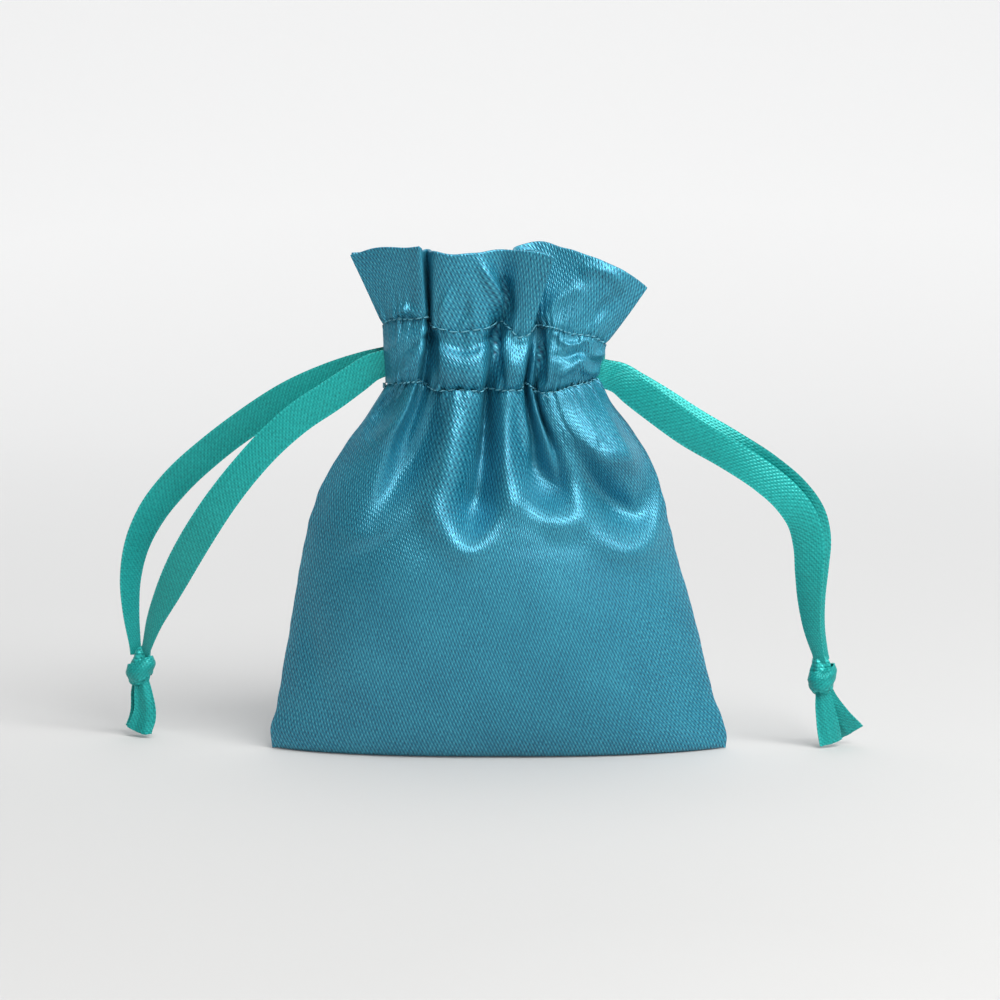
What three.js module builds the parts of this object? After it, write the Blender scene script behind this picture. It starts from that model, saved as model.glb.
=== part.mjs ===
// Drawstring gift pouch: a small satin bag that stands on its flattened bottom.
// Its neck is gathered by two ribbons, which run through a sewn casing and leave
// it at the left and at the right. Millimetres, +Z up, front of the pouch at -Y.
// The origin is on the floor under the middle of the pouch.
import * as THREE from 'three';

// ---------------------------------------------------------------- driving dimensions

const BASE_HALF_WIDTH = 48.3;      // half of the pouch's width at its foot
const CLOTH = 0.6;                 // wall of one layer of cloth
const GAP = 0.3;                   // clearance between pieces that touch
const SEAM_GAP = 0.15;             // half of the gap between the two panels at a side seam

// The pouch's outline at rising heights: z, left edge x, right edge x, depth of the
// panel's crest beyond its edge, distance of the panel's edge from the middle plane.
const PANEL_STATIONS = [
  [0, -BASE_HALF_WIDTH + 0.6, BASE_HALF_WIDTH - 0.6, 11, SEAM_GAP],
  [3, -BASE_HALF_WIDTH, BASE_HALF_WIDTH, 13, SEAM_GAP],
  [19, -45.2, 43.6, 16.4, SEAM_GAP],
  [34, -42.9, 39.4, 16.8, SEAM_GAP],
  [49, -40.4, 35.5, 15.2, SEAM_GAP],
  [58, -37.2, 33.2, 13, SEAM_GAP],
  [66, -32, 28.8, 10, SEAM_GAP],
  [71.5, -27.4, 24.6, 7.2, 1.2],
  [76.2, -24, 22, 5.1, 3.3],
];

const PANEL_TOP = PANEL_STATIONS.at(-1)[0];

// Places of the valleys between the neck's pleats, from -1 at the left to 1 at the right.
const PLEAT_VALLEYS = [-1, -0.57, 0.02, 0.26, 0.44, 1];
const PLEAT_HEIGHT = 2.4;          // how far the widest pleat stands out
const PLEAT_FADE_START = 50;       // pleats grow from this height up to the casing

const NECK_LEFT = -24;             // ends of the casing
const NECK_RIGHT = 22;
const NECK_CREST = 5.1;            // how far every layer in the neck bows outwards
const CASING_BOTTOM = [76.7, 75.4];   // heights at the left end and at the right end
const CASING_TOP = [90.6, 89.4];

// Distance of each layer of the neck from the middle plane, at the neck's ends.
const FACING_OFFSET = 1.1;
const RIGHT_RIBBON_OFFSET = FACING_OFFSET + GAP + 0.35;
const LEFT_RIBBON_OFFSET = RIGHT_RIBBON_OFFSET + GAP + 0.35;
const CASING_OFFSET = LEFT_RIBBON_OFFSET + GAP + CLOTH;

const RUFFLE_THICKNESS = 1.2;      // two layers with a folded top edge
const RUFFLE_BASE_CLEARANCE = 1.4; // room above the casing for the lips to tilt
const RUFFLE_BASE_OFFSET = 2.7;
const RUFFLE_FLARE = 4.2;          // how much further out the top edge stands
const RUFFLE_TOP = [
  [-30.8, 104.4], [-23.9, 105.8], [-14.5, 106], [-2, 105.4], [10, 105.6], [20.1, 103.8], [30.6, 97.8],
];

const RIBBON_WIDTH = 6.35;
const RIBBON_THICKNESS = 0.35;
const THREAD_RADIUS = 0.2;
const LEAD_LENGTH = 5;             // stretch of each ribbon between its exit and its swing

// Routes of the four free ribbon ends, from the casing down to the knots.
const LEFT_FRONT_ROUTE = [
  [-24.2, -2.4, 82], [-26.6, -2.4, 81.1], [-29.8, -2.5, 78.9], [-35.3, -2.8, 75.1], [-41.5, -3.2, 71.0],
  [-47.6, -3.6, 65.7], [-53, -3.6, 59.8], [-58, -2.8, 53.4], [-62.8, -0.8, 46.2],
  [-66.9, 2.2, 39.2], [-70.6, 5.6, 32], [-73.6, 8.8, 25.6], [-75.6, 11.6, 19.6],
];
const LEFT_BACK_ROUTE = [
  [-24.2, 2.4, 82.2], [-26.8, 2.5, 81.5], [-30, 3.2, 80.4], [-35.6, 5, 78.2], [-44.2, 7, 74.2],
  [-52.8, 9, 68.8], [-61.5, 11, 62.2], [-68.9, 12.4, 55.4], [-74.4, 13.3, 48.4],
  [-77.7, 14, 41.4], [-79.2, 14.5, 34], [-79.2, 14.8, 27], [-78.4, 14.6, 19.6],
];
const RIGHT_FRONT_ROUTE = [
  [22.5, -1.7, 79.4], [25, -1.9, 78.6], [28.2, -2.8, 76.2], [32.8, -4, 72.9], [39.7, -5.4, 68.0],
  [48, -6.6, 63.2], [55, -6.9, 58.6], [60.2, -6.4, 54], [63.4, -5.6, 49.4],
  [64.8, -4.8, 44], [65, -4, 38], [65.2, -3, 32], [66, -1.8, 25.5], [67.4, -0.6, 20.2],
];
const RIGHT_BACK_ROUTE = [
  [22.5, 1.7, 79.6], [25.2, 1.8, 78.9], [28.4, 1.4, 76.9], [33, 0.4, 74.1], [40.2, -1.4, 69.6],
  [48.6, -2.8, 64.8], [56, -3.4, 60.2], [61.6, -3.2, 55.4], [65, -2.4, 50.4],
  [66.6, -1.6, 44.8], [66.8, -0.8, 38.6], [66.8, 0, 32], [67.4, 0.8, 25.6], [68.6, 1.6, 20.2],
];
const LEFT_KNOT = [-77.1, 13.2, 15];
const RIGHT_KNOT = [68.3, 0.6, 15.2];
const KNOT_RADII = [3.1, 2.6, 3.8];
const LEFT_FRONT_TAIL = [[-76.6, 12.6, 10.9], [-76.3, 12.4, 6], [-77.6, 12.2, 0.6]];
const LEFT_BACK_TAIL = [[-77.4, 14.4, 10.9], [-77.2, 15.2, 6], [-78, 16.6, 0.6]];
const RIGHT_FRONT_TAIL = [[68.6, 0, 11], [69.4, 0.2, 6], [70.4, 1.0, 0.6]];
const RIGHT_BACK_TAIL = [[69.6, 1.4, 11.2], [72, 2.6, 6.6], [75.2, 4, 2.4]];

// ---------------------------------------------------------------- shape functions

const mix = (a, b, t) => a + (b - a) * t;
const vec = (p) => new THREE.Vector3(...p);
const smoothStep = THREE.MathUtils.smoothstep;

// How far the cloth stands out between two pleat valleys, at u from -1 to 1.
function pleatAt(u) {
  for (let i = 1; i < PLEAT_VALLEYS.length; i++) {
    const [from, to] = [PLEAT_VALLEYS[i - 1], PLEAT_VALLEYS[i]];
    if (u > to) continue;
    const widthShare = Math.min(1, 0.35 + (to - from));
    return PLEAT_HEIGHT * widthShare * Math.sin(Math.PI * (u - from) / (to - from));
  }
  return 0;
}

const bow = (u) => Math.cos(Math.PI * u / 2);
const heightAcross = (ends, u) => mix(ends[0], ends[1], (u + 1) / 2);

// The stations as three curves that share their heights.
const stationCurve = (place) => new THREE.CatmullRomCurve3(
  PANEL_STATIONS.map((s) => new THREE.Vector3(...place(s))), false, 'catmullrom', 0.5);
const edgeCurve = stationCurve((s) => [s[1], s[2], s[0]]);
const crestCurve = stationCurve((s) => [s[3], s[4], s[0]]);

// A point on a body panel. side is -1 for the front and 1 for the back.
function panelPoint(side, u, v, depthIn) {
  const edge = edgeCurve.getPoint(v);
  const crest = crestCurve.getPoint(v);
  const middle = (edge.x + edge.y) / 2;
  const halfWidth = (edge.y - edge.x) / 2 - 2 * depthIn;
  const fade = smoothStep(edge.z, PLEAT_FADE_START, CASING_BOTTOM[0]);
  const out = crest.y + (crest.x - depthIn) * bow(u) + pleatAt(u) * fade * bow(u / 1.4);
  const lift = heightAcross(CASING_BOTTOM, u) - GAP - PANEL_TOP;
  const z = edge.z + lift * smoothStep(edge.z, PANEL_TOP - 8, PANEL_TOP);
  return new THREE.Vector3(middle + halfWidth * u, side * out, z);
}

// A point in the neck: its distance from the middle plane is offset at the ends.
function neckPoint(side, u, z, offset, pleatShare = 0) {
  const x = mix(NECK_LEFT, NECK_RIGHT, (u + 1) / 2);
  const out = offset + NECK_CREST * bow(u) + pleatAt(u) * pleatShare * bow(u / 1.4);
  return new THREE.Vector3(x, side * out, z);
}

// ---------------------------------------------------------------- solids

// A closed wall between two surfaces, each a function of u in -1..1 and v in 0..1.
function wall(columns, rows, surfaceA, surfaceB) {
  const positions = [];
  for (const surface of [surfaceA, surfaceB]) {
    for (let j = 0; j <= rows; j++) {
      for (let i = 0; i <= columns; i++) {
        positions.push(...surface(-1 + 2 * i / columns, j / rows).toArray());
      }
    }
  }
  const layer = (columns + 1) * (rows + 1);
  const at = (i, j, k) => k * layer + j * (columns + 1) + i;
  const index = [];
  const quad = (a, b, c, d) => index.push(a, b, c, a, c, d);
  for (let j = 0; j < rows; j++) {
    for (let i = 0; i < columns; i++) {
      quad(at(i, j, 0), at(i + 1, j, 0), at(i + 1, j + 1, 0), at(i, j + 1, 0));
      quad(at(i, j, 1), at(i, j + 1, 1), at(i + 1, j + 1, 1), at(i + 1, j, 1));
    }
    quad(at(0, j, 1), at(0, j, 0), at(0, j + 1, 0), at(0, j + 1, 1));
    quad(at(columns, j, 0), at(columns, j, 1), at(columns, j + 1, 1), at(columns, j + 1, 0));
  }
  for (let i = 0; i < columns; i++) {
    quad(at(i, 0, 1), at(i + 1, 0, 1), at(i + 1, 0, 0), at(i, 0, 0));
    quad(at(i, rows, 0), at(i + 1, rows, 0), at(i + 1, rows, 1), at(i, rows, 1));
  }
  const geometry = new THREE.BufferGeometry();
  geometry.setAttribute('position', new THREE.Float32BufferAttribute(positions, 3));
  geometry.setIndex(index);
  return facingOut(geometry);
}

// Turns a closed body's faces outwards if its signed volume is negative.
function facingOut(geometry) {
  const p = geometry.getAttribute('position');
  const index = geometry.getIndex().array;
  const corner = [0, 1, 2].map(() => new THREE.Vector3());
  let volume = 0;
  for (let i = 0; i < index.length; i += 3) {
    corner.forEach((c, k) => c.fromBufferAttribute(p, index[i + k]));
    volume += corner[0].dot(corner[1].cross(corner[2]));
  }
  if (volume < 0) {
    for (let i = 0; i < index.length; i += 3) [index[i], index[i + 1]] = [index[i + 1], index[i]];
  }
  geometry.computeVertexNormals();
  return geometry;
}

// A flat ribbon along a curve. faceDirection(tangent) gives the way its face looks.
function ribbonAlong(curve, steps, widthAt, faceDirection) {
  const surface = (side) => (u, v) => {
    const tangent = curve.getTangentAt(v);
    const face = faceDirection(tangent);
    face.addScaledVector(tangent, -face.dot(tangent)).normalize();
    const across = new THREE.Vector3().crossVectors(tangent, face);
    return curve.getPointAt(v)
      .addScaledVector(across, u * widthAt(v) / 2)
      .addScaledVector(face, side * RIBBON_THICKNESS / 2);
  };
  return wall(1, steps, surface(1), surface(-1));
}

// A thread along a curve: a six-sided bar swept by ExtrudeGeometry.
function threadAlong(points, steps) {
  const section = new THREE.Shape();
  section.absarc(0, 0, THREAD_RADIUS, 0, 2 * Math.PI, false);
  return new THREE.ExtrudeGeometry(section, {
    curveSegments: 3, steps, extrudePath: new THREE.CatmullRomCurve3(points),
  });
}

// ---------------------------------------------------------------- sub-parts

const pouch = new THREE.Group();
const PALETTE = {
  satin: { color: 0x3f8ca3, roughness: 0.42, metalness: 0 },
  lining: { color: 0x35788d, roughness: 0.6, metalness: 0 },
  ribbon: { color: 0x2fa08f, roughness: 0.45, metalness: 0 },
  thread: { color: 0x5fa9b8, roughness: 0.55, metalness: 0 },
};

function place(name, geometry, finish) {
  const mesh = new THREE.Mesh(geometry, new THREE.MeshStandardMaterial(PALETTE[finish]));
  mesh.name = name;
  pouch.add(mesh);
}

// The flattened bottom: a lens of cloth that lies on the floor between the panels.
function bottomPanel() {
  const halfWidth = BASE_HALF_WIDTH - 5;
  const halfDepth = 9.2;
  const surface = (z) => (u, v) => new THREE.Vector3(
    halfWidth * u, halfDepth * (0.12 + 0.88 * bow(u)) * (2 * v - 1), z);
  return wall(20, 2, surface(0), surface(CLOTH));
}

const bodyPanel = (side) => wall(26, 13,
  (u, v) => panelPoint(side, u, v, 0), (u, v) => panelPoint(side, u, v, CLOTH));

function casingWall(side) {
  const surface = (offset) => (u, v) => neckPoint(
    side, u, mix(heightAcross(CASING_BOTTOM, u), heightAcross(CASING_TOP, u), v), offset, 1);
  return wall(26, 2, surface(CASING_OFFSET), surface(CASING_OFFSET - CLOTH));
}

function facingWall(side) {
  const surface = (offset) => (u, v) => neckPoint(
    side, u, mix(heightAcross(CASING_BOTTOM, u), heightAcross(CASING_TOP, u), v), offset);
  return wall(16, 1, surface(FACING_OFFSET), surface(FACING_OFFSET - CLOTH));
}

const ruffleTop = new THREE.CatmullRomCurve3(RUFFLE_TOP.map(([x, z]) => new THREE.Vector3(x, 0, z)));

function ruffle(side) {
  const surface = (inset) => (u, v) => {
    const base = neckPoint(side, u, heightAcross(CASING_TOP, u) + RUFFLE_BASE_CLEARANCE,
      RUFFLE_BASE_OFFSET - inset, 0.6);
    const top = ruffleTop.getPoint((u + 1) / 2);
    top.y = side * (RUFFLE_BASE_OFFSET - inset + (NECK_CREST + RUFFLE_FLARE) * bow(u) + 1.4 * pleatAt(u));
    return base.lerp(top, v);
  };
  return wall(26, 5, surface(0), surface(RUFFLE_THICKNESS));
}

// The turned-in edges of both panels along a side seam, pressed together inside.
const SEAM_HEIGHTS = [0.08, 0.72];
const THREAD_INSET = 2.4;
const ALLOWANCE_INSET = 3.2;
const ALLOWANCE_WIDTH = 4.6;

function seamX(end, v) {
  const edge = edgeCurve.getPoint(mix(...SEAM_HEIGHTS, v));
  return { x: end < 0 ? edge.x : edge.y, z: edge.z };
}

function seamAllowance(end) {
  const surface = (y) => (u, v) => {
    const { x, z } = seamX(end, v);
    return new THREE.Vector3(x - end * (ALLOWANCE_INSET + ALLOWANCE_WIDTH * (u + 1) / 2), y, z);
  };
  return wall(1, 8, surface(0.35), surface(-0.35));
}

function sideStitches(end) {
  const points = [0, 0.2, 0.4, 0.6, 0.8, 1].map((v) => {
    const { x, z } = seamX(end, v);
    return new THREE.Vector3(x - end * THREAD_INSET, 0, z);
  });
  return threadAlong(points, 14);
}

// A row of stitches along the casing, just outside its wall.
function casingStitches(side, ends, rise) {
  const count = 24;
  const points = [];
  for (let i = 0; i <= count; i++) {
    const u = mix(-0.96, 0.96, i / count);
    points.push(neckPoint(side, u, heightAcross(ends, u) + rise, CASING_OFFSET + GAP + THREAD_RADIUS, 1));
  }
  return threadAlong(points, 48);
}

// The thread that ties the panels together where the side slit starts.
function slitTack(end) {
  const { x, z } = seamX(end, 1);
  const out = x + end * 1.1;
  const points = [-1.3, -0.5, 0.5, 1.3].map((y) => new THREE.Vector3(out, y, z - 1));
  return threadAlong(points, 4);
}

// A ribbon inside the casing: in through the front, round the far end, out through the back.
function ribbonLoop(homeEnd, offset, heights) {
  const points = [];
  const count = 12;
  for (const side of [-1, 1]) {
    for (let i = 0; i <= count; i++) {
      const share = side < 0 ? i / count : 1 - i / count;
      const u = homeEnd * mix(0.94, -0.97, share);
      points.push(neckPoint(side, u, mix(...heights, share), offset - RIBBON_THICKNESS / 2));
    }
    if (side > 0) continue;
    const turnX = (homeEnd < 0 ? NECK_RIGHT : NECK_LEFT) - homeEnd * 0.4;
    for (const angle of [-50, 0, 50]) {
      const radius = offset - RIBBON_THICKNESS / 2;
      const a = THREE.MathUtils.degToRad(angle);
      points.push(new THREE.Vector3(turnX - homeEnd * radius * Math.cos(a), radius * Math.sin(a), heights[1]));
    }
  }
  const face = (tangent) => new THREE.Vector3(tangent.y, -tangent.x, 0);
  return ribbonAlong(new THREE.CatmullRomCurve3(points), 60, () => RIBBON_WIDTH, face);
}

// One free end: a short lead at the exit and the strand down to the knot.
const faceForward = () => new THREE.Vector3(0, -1, 0);
const narrowing = (v) => RIBBON_WIDTH * mix(1, 0.5, smoothStep(v, 0.78, 1));

function freeEnd(name, route) {
  const curve = new THREE.CatmullRomCurve3(route.map(vec));
  const total = curve.getLength();
  const stretch = (from, to, count) => {
    const points = [];
    for (let i = 0; i <= count; i++) points.push(curve.getPointAt(mix(from, to, i / count)));
    return new THREE.CatmullRomCurve3(points);
  };
  const split = LEAD_LENGTH / total;
  place(name + '_lead', ribbonAlong(stretch(0, split, 3), 2, () => RIBBON_WIDTH, faceForward), 'ribbon');
  const strand = stretch(split + GAP / total, 1, 24);
  place(name + '_strand', ribbonAlong(strand, 30, narrowing, faceForward), 'ribbon');
}

function knot(centre) {
  const geometry = new THREE.SphereGeometry(1, 14, 10);
  geometry.scale(...KNOT_RADII);
  geometry.translate(...centre);
  return geometry;
}

function tail(points) {
  const spread = (v) => mix(3, 5.6, v);
  return ribbonAlong(new THREE.CatmullRomCurve3(points.map(vec)), 5, spread, faceForward);
}

// ---------------------------------------------------------------- assembly

place('bottom_panel', bottomPanel(), 'satin');
for (const [word, side] of [['front', -1], ['back', 1]]) {
  place(word + '_panel', bodyPanel(side), 'satin');
  place(word + '_casing', casingWall(side), 'satin');
  place(word + '_facing', facingWall(side), 'lining');
  place(word + '_ruffle', ruffle(side), 'satin');
  place(word + '_upper_stitches', casingStitches(side, CASING_TOP, -0.9), 'thread');
  place(word + '_lower_stitches', casingStitches(side, CASING_BOTTOM, 0.7), 'thread');
}
for (const [word, end] of [['left', -1], ['right', 1]]) {
  place(word + '_seam_allowance', seamAllowance(end), 'lining');
  place(word + '_side_stitches', sideStitches(end), 'thread');
  place(word + '_slit_tack', slitTack(end), 'thread');
}

place('left_ribbon_loop', ribbonLoop(-1, LEFT_RIBBON_OFFSET, [82.2, 86]), 'ribbon');
place('right_ribbon_loop', ribbonLoop(1, RIGHT_RIBBON_OFFSET, [79, 80.2]), 'ribbon');
freeEnd('left_front', LEFT_FRONT_ROUTE);
freeEnd('left_back', LEFT_BACK_ROUTE);
freeEnd('right_front', RIGHT_FRONT_ROUTE);
freeEnd('right_back', RIGHT_BACK_ROUTE);
place('left_knot', knot(LEFT_KNOT), 'ribbon');
place('right_knot', knot(RIGHT_KNOT), 'ribbon');
place('left_front_tail', tail(LEFT_FRONT_TAIL), 'ribbon');
place('left_back_tail', tail(LEFT_BACK_TAIL), 'ribbon');
place('right_front_tail', tail(RIGHT_FRONT_TAIL), 'ribbon');
place('right_back_tail', tail(RIGHT_BACK_TAIL), 'ribbon');

export default pouch;
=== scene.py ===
"""Looks of a drawstring gift pouch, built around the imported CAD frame. Lengths are in metres."""
import math

import bpy
import numpy as np
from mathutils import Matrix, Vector


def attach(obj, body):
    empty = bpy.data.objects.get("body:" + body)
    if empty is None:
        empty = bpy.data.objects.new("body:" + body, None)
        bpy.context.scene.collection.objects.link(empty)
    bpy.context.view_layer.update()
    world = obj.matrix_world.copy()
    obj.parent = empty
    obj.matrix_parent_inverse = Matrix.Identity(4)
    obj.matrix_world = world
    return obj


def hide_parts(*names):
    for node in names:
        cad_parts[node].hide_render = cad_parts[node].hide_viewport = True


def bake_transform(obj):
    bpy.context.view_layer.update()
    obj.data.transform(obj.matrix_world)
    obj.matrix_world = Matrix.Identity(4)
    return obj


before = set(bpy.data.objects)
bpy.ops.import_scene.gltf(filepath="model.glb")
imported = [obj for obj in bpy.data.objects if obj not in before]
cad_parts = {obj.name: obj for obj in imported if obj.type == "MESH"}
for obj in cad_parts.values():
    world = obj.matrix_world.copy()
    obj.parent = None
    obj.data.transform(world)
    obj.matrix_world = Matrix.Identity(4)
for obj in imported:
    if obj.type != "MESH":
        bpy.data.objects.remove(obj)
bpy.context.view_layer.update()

MM = 0.001
SHARP_EDGE = math.radians(60)      # faces that meet at more than this keep a crisp edge between them

# ---------------------------------------------------------------- camera

AIM = Vector((0.0002, 0, 0.053))
CAMERA_DISTANCE = 0.75
CAMERA_ELEVATION = math.radians(7)
LENS = 128.5
SENSOR_WIDTH = 36
CLIP_START = 0.01
CLIP_END = 20


def add_camera():
    data = bpy.data.cameras.new("camera")
    data.lens = LENS
    data.sensor_width = SENSOR_WIDTH
    data.clip_start = CLIP_START
    data.clip_end = CLIP_END
    camera = bpy.data.objects.new("camera", data)
    back = Vector((0, -math.cos(CAMERA_ELEVATION), math.sin(CAMERA_ELEVATION)))
    camera.location = AIM + back * CAMERA_DISTANCE
    camera.rotation_euler = (-back).to_track_quat("-Z", "Y").to_euler()
    bpy.context.scene.collection.objects.link(camera)
    bpy.context.scene.camera = camera


add_camera()

# ---------------------------------------------------------------- numbers and curves


def smooth(edge0, edge1, x):
    t = np.clip((x - edge0) / (edge1 - edge0), 0, 1)
    return t * t * (3 - 2 * t)


def hermite(xs, ys, x):
    """Smooth curve through (xs, ys), read at x. ys may have several columns."""
    xs = np.asarray(xs, float)
    ys = np.asarray(ys, float)
    x = np.asarray(x, float)
    slope = np.gradient(ys, xs, axis=0)
    i = np.clip(np.searchsorted(xs, x, side="right") - 1, 0, len(xs) - 2)
    h = xs[i + 1] - xs[i]
    t = (x - xs[i]) / h
    if ys.ndim > 1:
        h = h[..., None]
        t = t[..., None]
    a = (1 + 2 * t) * (1 - t) ** 2
    b = t * (1 - t) ** 2
    c = t * t * (3 - 2 * t)
    d = t * t * (t - 1)
    return a * ys[i] + b * h * slope[i] + c * ys[i + 1] + d * h * slope[i + 1]


def arc_lengths(points):
    points = np.asarray(points, float)
    return np.concatenate([[0], np.cumsum(np.linalg.norm(np.diff(points, axis=0), axis=1))])


def noise_1d(x, seed, waves=6, low=0.4, high=2.0):
    """A repeatable wavy line, about -1 to 1."""
    rng = np.random.default_rng(seed)
    total = np.zeros_like(x, dtype=float)
    for _ in range(waves):
        total += np.sin(x * rng.uniform(low, high) + rng.uniform(0, 2 * math.pi))
    return total / waves ** 0.5


# ---------------------------------------------------------------- meshes


def new_mesh(name, vertices, faces, uvs=None):
    mesh = bpy.data.meshes.new(name)
    mesh.from_pydata([tuple(v) for v in vertices], [], faces)
    if uvs is not None:
        layer = mesh.uv_layers.new(name="UVMap")
        loop_vertices = np.zeros(len(mesh.loops), int)
        mesh.loops.foreach_get("vertex_index", loop_vertices)
        layer.data.foreach_set("uv", np.asarray(uvs, float)[loop_vertices].ravel())
    mesh.polygons.foreach_set("use_smooth", [True] * len(mesh.polygons))
    mesh.validate()
    piece = bpy.data.objects.new(name, mesh)
    bpy.context.scene.collection.objects.link(piece)
    return piece


def grid_faces(rows, columns, flip=False):
    faces = []
    for j in range(rows - 1):
        for i in range(columns - 1):
            a = j * columns + i
            quad = (a, a + 1, a + columns + 1, a + columns)
            faces.append(quad[::-1] if flip else quad)
    return faces


def grid_uvs(u, v):
    """UV map of a grid of points: u across it and v along it, in mm."""
    across, along = np.broadcast_arrays(np.asarray(u, float)[None, :], np.asarray(v, float)[:, None])
    return np.stack([across, along], axis=2)


def apply_modifiers(piece):
    for other in bpy.context.selected_objects:
        other.select_set(False)
    bpy.context.view_layer.objects.active = piece
    piece.select_set(True)
    for modifier in list(piece.modifiers):
        bpy.ops.object.modifier_apply(modifier=modifier.name)


def cloth(name, points, uvs, material, thickness, flip=False, offset=-1):
    """A sheet through a grid of points in mm, with a thickness that goes inwards."""
    rows, columns = points.shape[:2]
    piece = new_mesh(
        name, points.reshape(-1, 3) * MM, grid_faces(rows, columns, flip), uvs.reshape(-1, 2)
    )
    solid = piece.modifiers.new("thickness", "SOLIDIFY")
    solid.thickness = thickness * MM
    solid.offset = offset
    solid.use_even_offset = False
    apply_modifiers(piece)
    piece.data.set_sharp_from_angle(angle=SHARP_EDGE)
    piece.data.materials.append(material)
    return piece


# ---------------------------------------------------------------- materials


WEAVE_RELIEF = 0.00008             # height of the threads in the bump
SHEEN = 0.05
ALONG_THREADS = 0.4                # how far highlights are drawn out


def node_material(name):
    material = bpy.data.materials.new(name)
    material.use_nodes = True
    tree = material.node_tree
    shader = tree.nodes["Principled BSDF"]
    return material, tree, shader


def add(tree, kind, **settings):
    node = tree.nodes.new(kind)
    for key, value in settings.items():
        setattr(node, key, value)
    return node


def math_node(tree, operation, a, b=None):
    node = add(tree, "ShaderNodeMath", operation=operation)
    for socket, value in zip(node.inputs, (a, b)):
        if value is None:
            continue
        if isinstance(value, (int, float)):
            socket.default_value = value
        else:
            tree.links.new(value, socket)
    return node.outputs[0]


def wave_across(tree, uv, pitch, lean_deg):
    """Parallel lines on the UV map, which is in mm. lean_deg turns them from upright."""
    lean = math.radians(lean_deg)
    split = add(tree, "ShaderNodeSeparateXYZ")
    tree.links.new(uv.outputs[0], split.inputs[0])
    east = math_node(tree, "MULTIPLY", split.outputs[0], 2 * math.pi * math.cos(lean) / pitch)
    north = math_node(tree, "MULTIPLY", split.outputs[1], 2 * math.pi * math.sin(lean) / pitch)
    return math_node(tree, "SINE", math_node(tree, "ADD", east, north))


def noise_node(tree, uv, scale, detail):
    noise = add(tree, "ShaderNodeTexNoise")
    noise.inputs["Scale"].default_value = scale
    noise.inputs["Detail"].default_value = detail
    tree.links.new(uv.outputs[0], noise.inputs["Vector"])
    return noise.outputs[0]


def twill_height(tree, uv, pitch, lean, cross_pitch, cross_lean):
    """Short slanted floats: steep lines broken up by a second set of lines."""
    line = wave_across(tree, uv, pitch, lean)
    cross = wave_across(tree, uv, cross_pitch, cross_lean)
    strength = math_node(tree, "ADD", math_node(tree, "MULTIPLY", cross, 0.5), 0.5)
    return math_node(tree, "MULTIPLY", line, strength)


def selvedge(tree, uv, edge, pitch):
    """1 on the raised loops along both edges of a ribbon, 0 elsewhere."""
    split = add(tree, "ShaderNodeSeparateXYZ")
    tree.links.new(uv.outputs[0], split.inputs[0])
    outside = math_node(tree, "GREATER_THAN", math_node(tree, "ABSOLUTE", split.outputs[0]), edge)
    along = math_node(tree, "MULTIPLY", split.outputs[1], 2 * math.pi / pitch)
    loops = math_node(tree, "GREATER_THAN", math_node(tree, "SINE", along), 0.1)
    return math_node(tree, "MULTIPLY", outside, loops)


def woven_material(name, colours, weave, roughness, metallic, bump, contrast, gloss=0.5, edge=None):
    """colours are dark, middle and light. weave holds the numbers for twill_height, edge for selvedge."""
    dark, middle, light = colours
    material, tree, shader = node_material(name)
    uv = add(tree, "ShaderNodeUVMap", uv_map="UVMap")
    height = twill_height(tree, uv, *weave)
    shade = math_node(tree, "MULTIPLY", height, contrast)
    cloud = math_node(tree, "MULTIPLY", noise_node(tree, uv, 0.08, 4), 0.25)
    slub = math_node(tree, "MULTIPLY", noise_node(tree, uv, 1.6, 3), 0.75)
    shade = math_node(tree, "ADD", shade, math_node(tree, "ADD", cloud, slub))
    if edge is not None:
        loops = selvedge(tree, uv, *edge)
        shade = math_node(tree, "ADD", shade, math_node(tree, "MULTIPLY", loops, 0.4))
        height = math_node(tree, "ADD", height, math_node(tree, "MULTIPLY", loops, 2.0))
    ramp = add(tree, "ShaderNodeValToRGB")
    ramp.color_ramp.elements[0].position = 0.12
    ramp.color_ramp.elements[0].color = (*dark, 1)
    ramp.color_ramp.elements[1].position = 0.88
    ramp.color_ramp.elements[1].color = (*light, 1)
    centre = ramp.color_ramp.elements.new(0.5)
    centre.color = (*middle, 1)
    tree.links.new(shade, ramp.inputs[0])
    tree.links.new(ramp.outputs[0], shader.inputs["Base Color"])
    shader.inputs["Roughness"].default_value = roughness
    shader.inputs["Metallic"].default_value = metallic
    shader.inputs["IOR"].default_value = 1.7
    shader.inputs["Specular IOR Level"].default_value = gloss
    shader.inputs["Anisotropic"].default_value = ALONG_THREADS
    shader.inputs["Sheen Weight"].default_value = SHEEN
    shader.inputs["Sheen Roughness"].default_value = 0.35
    shader.inputs["Sheen Tint"].default_value = (*light, 1)
    relief = add(tree, "ShaderNodeBump")
    relief.inputs["Strength"].default_value = bump
    relief.inputs["Distance"].default_value = WEAVE_RELIEF
    tree.links.new(height, relief.inputs["Height"])
    tree.links.new(relief.outputs[0], shader.inputs["Normal"])
    return material


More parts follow.
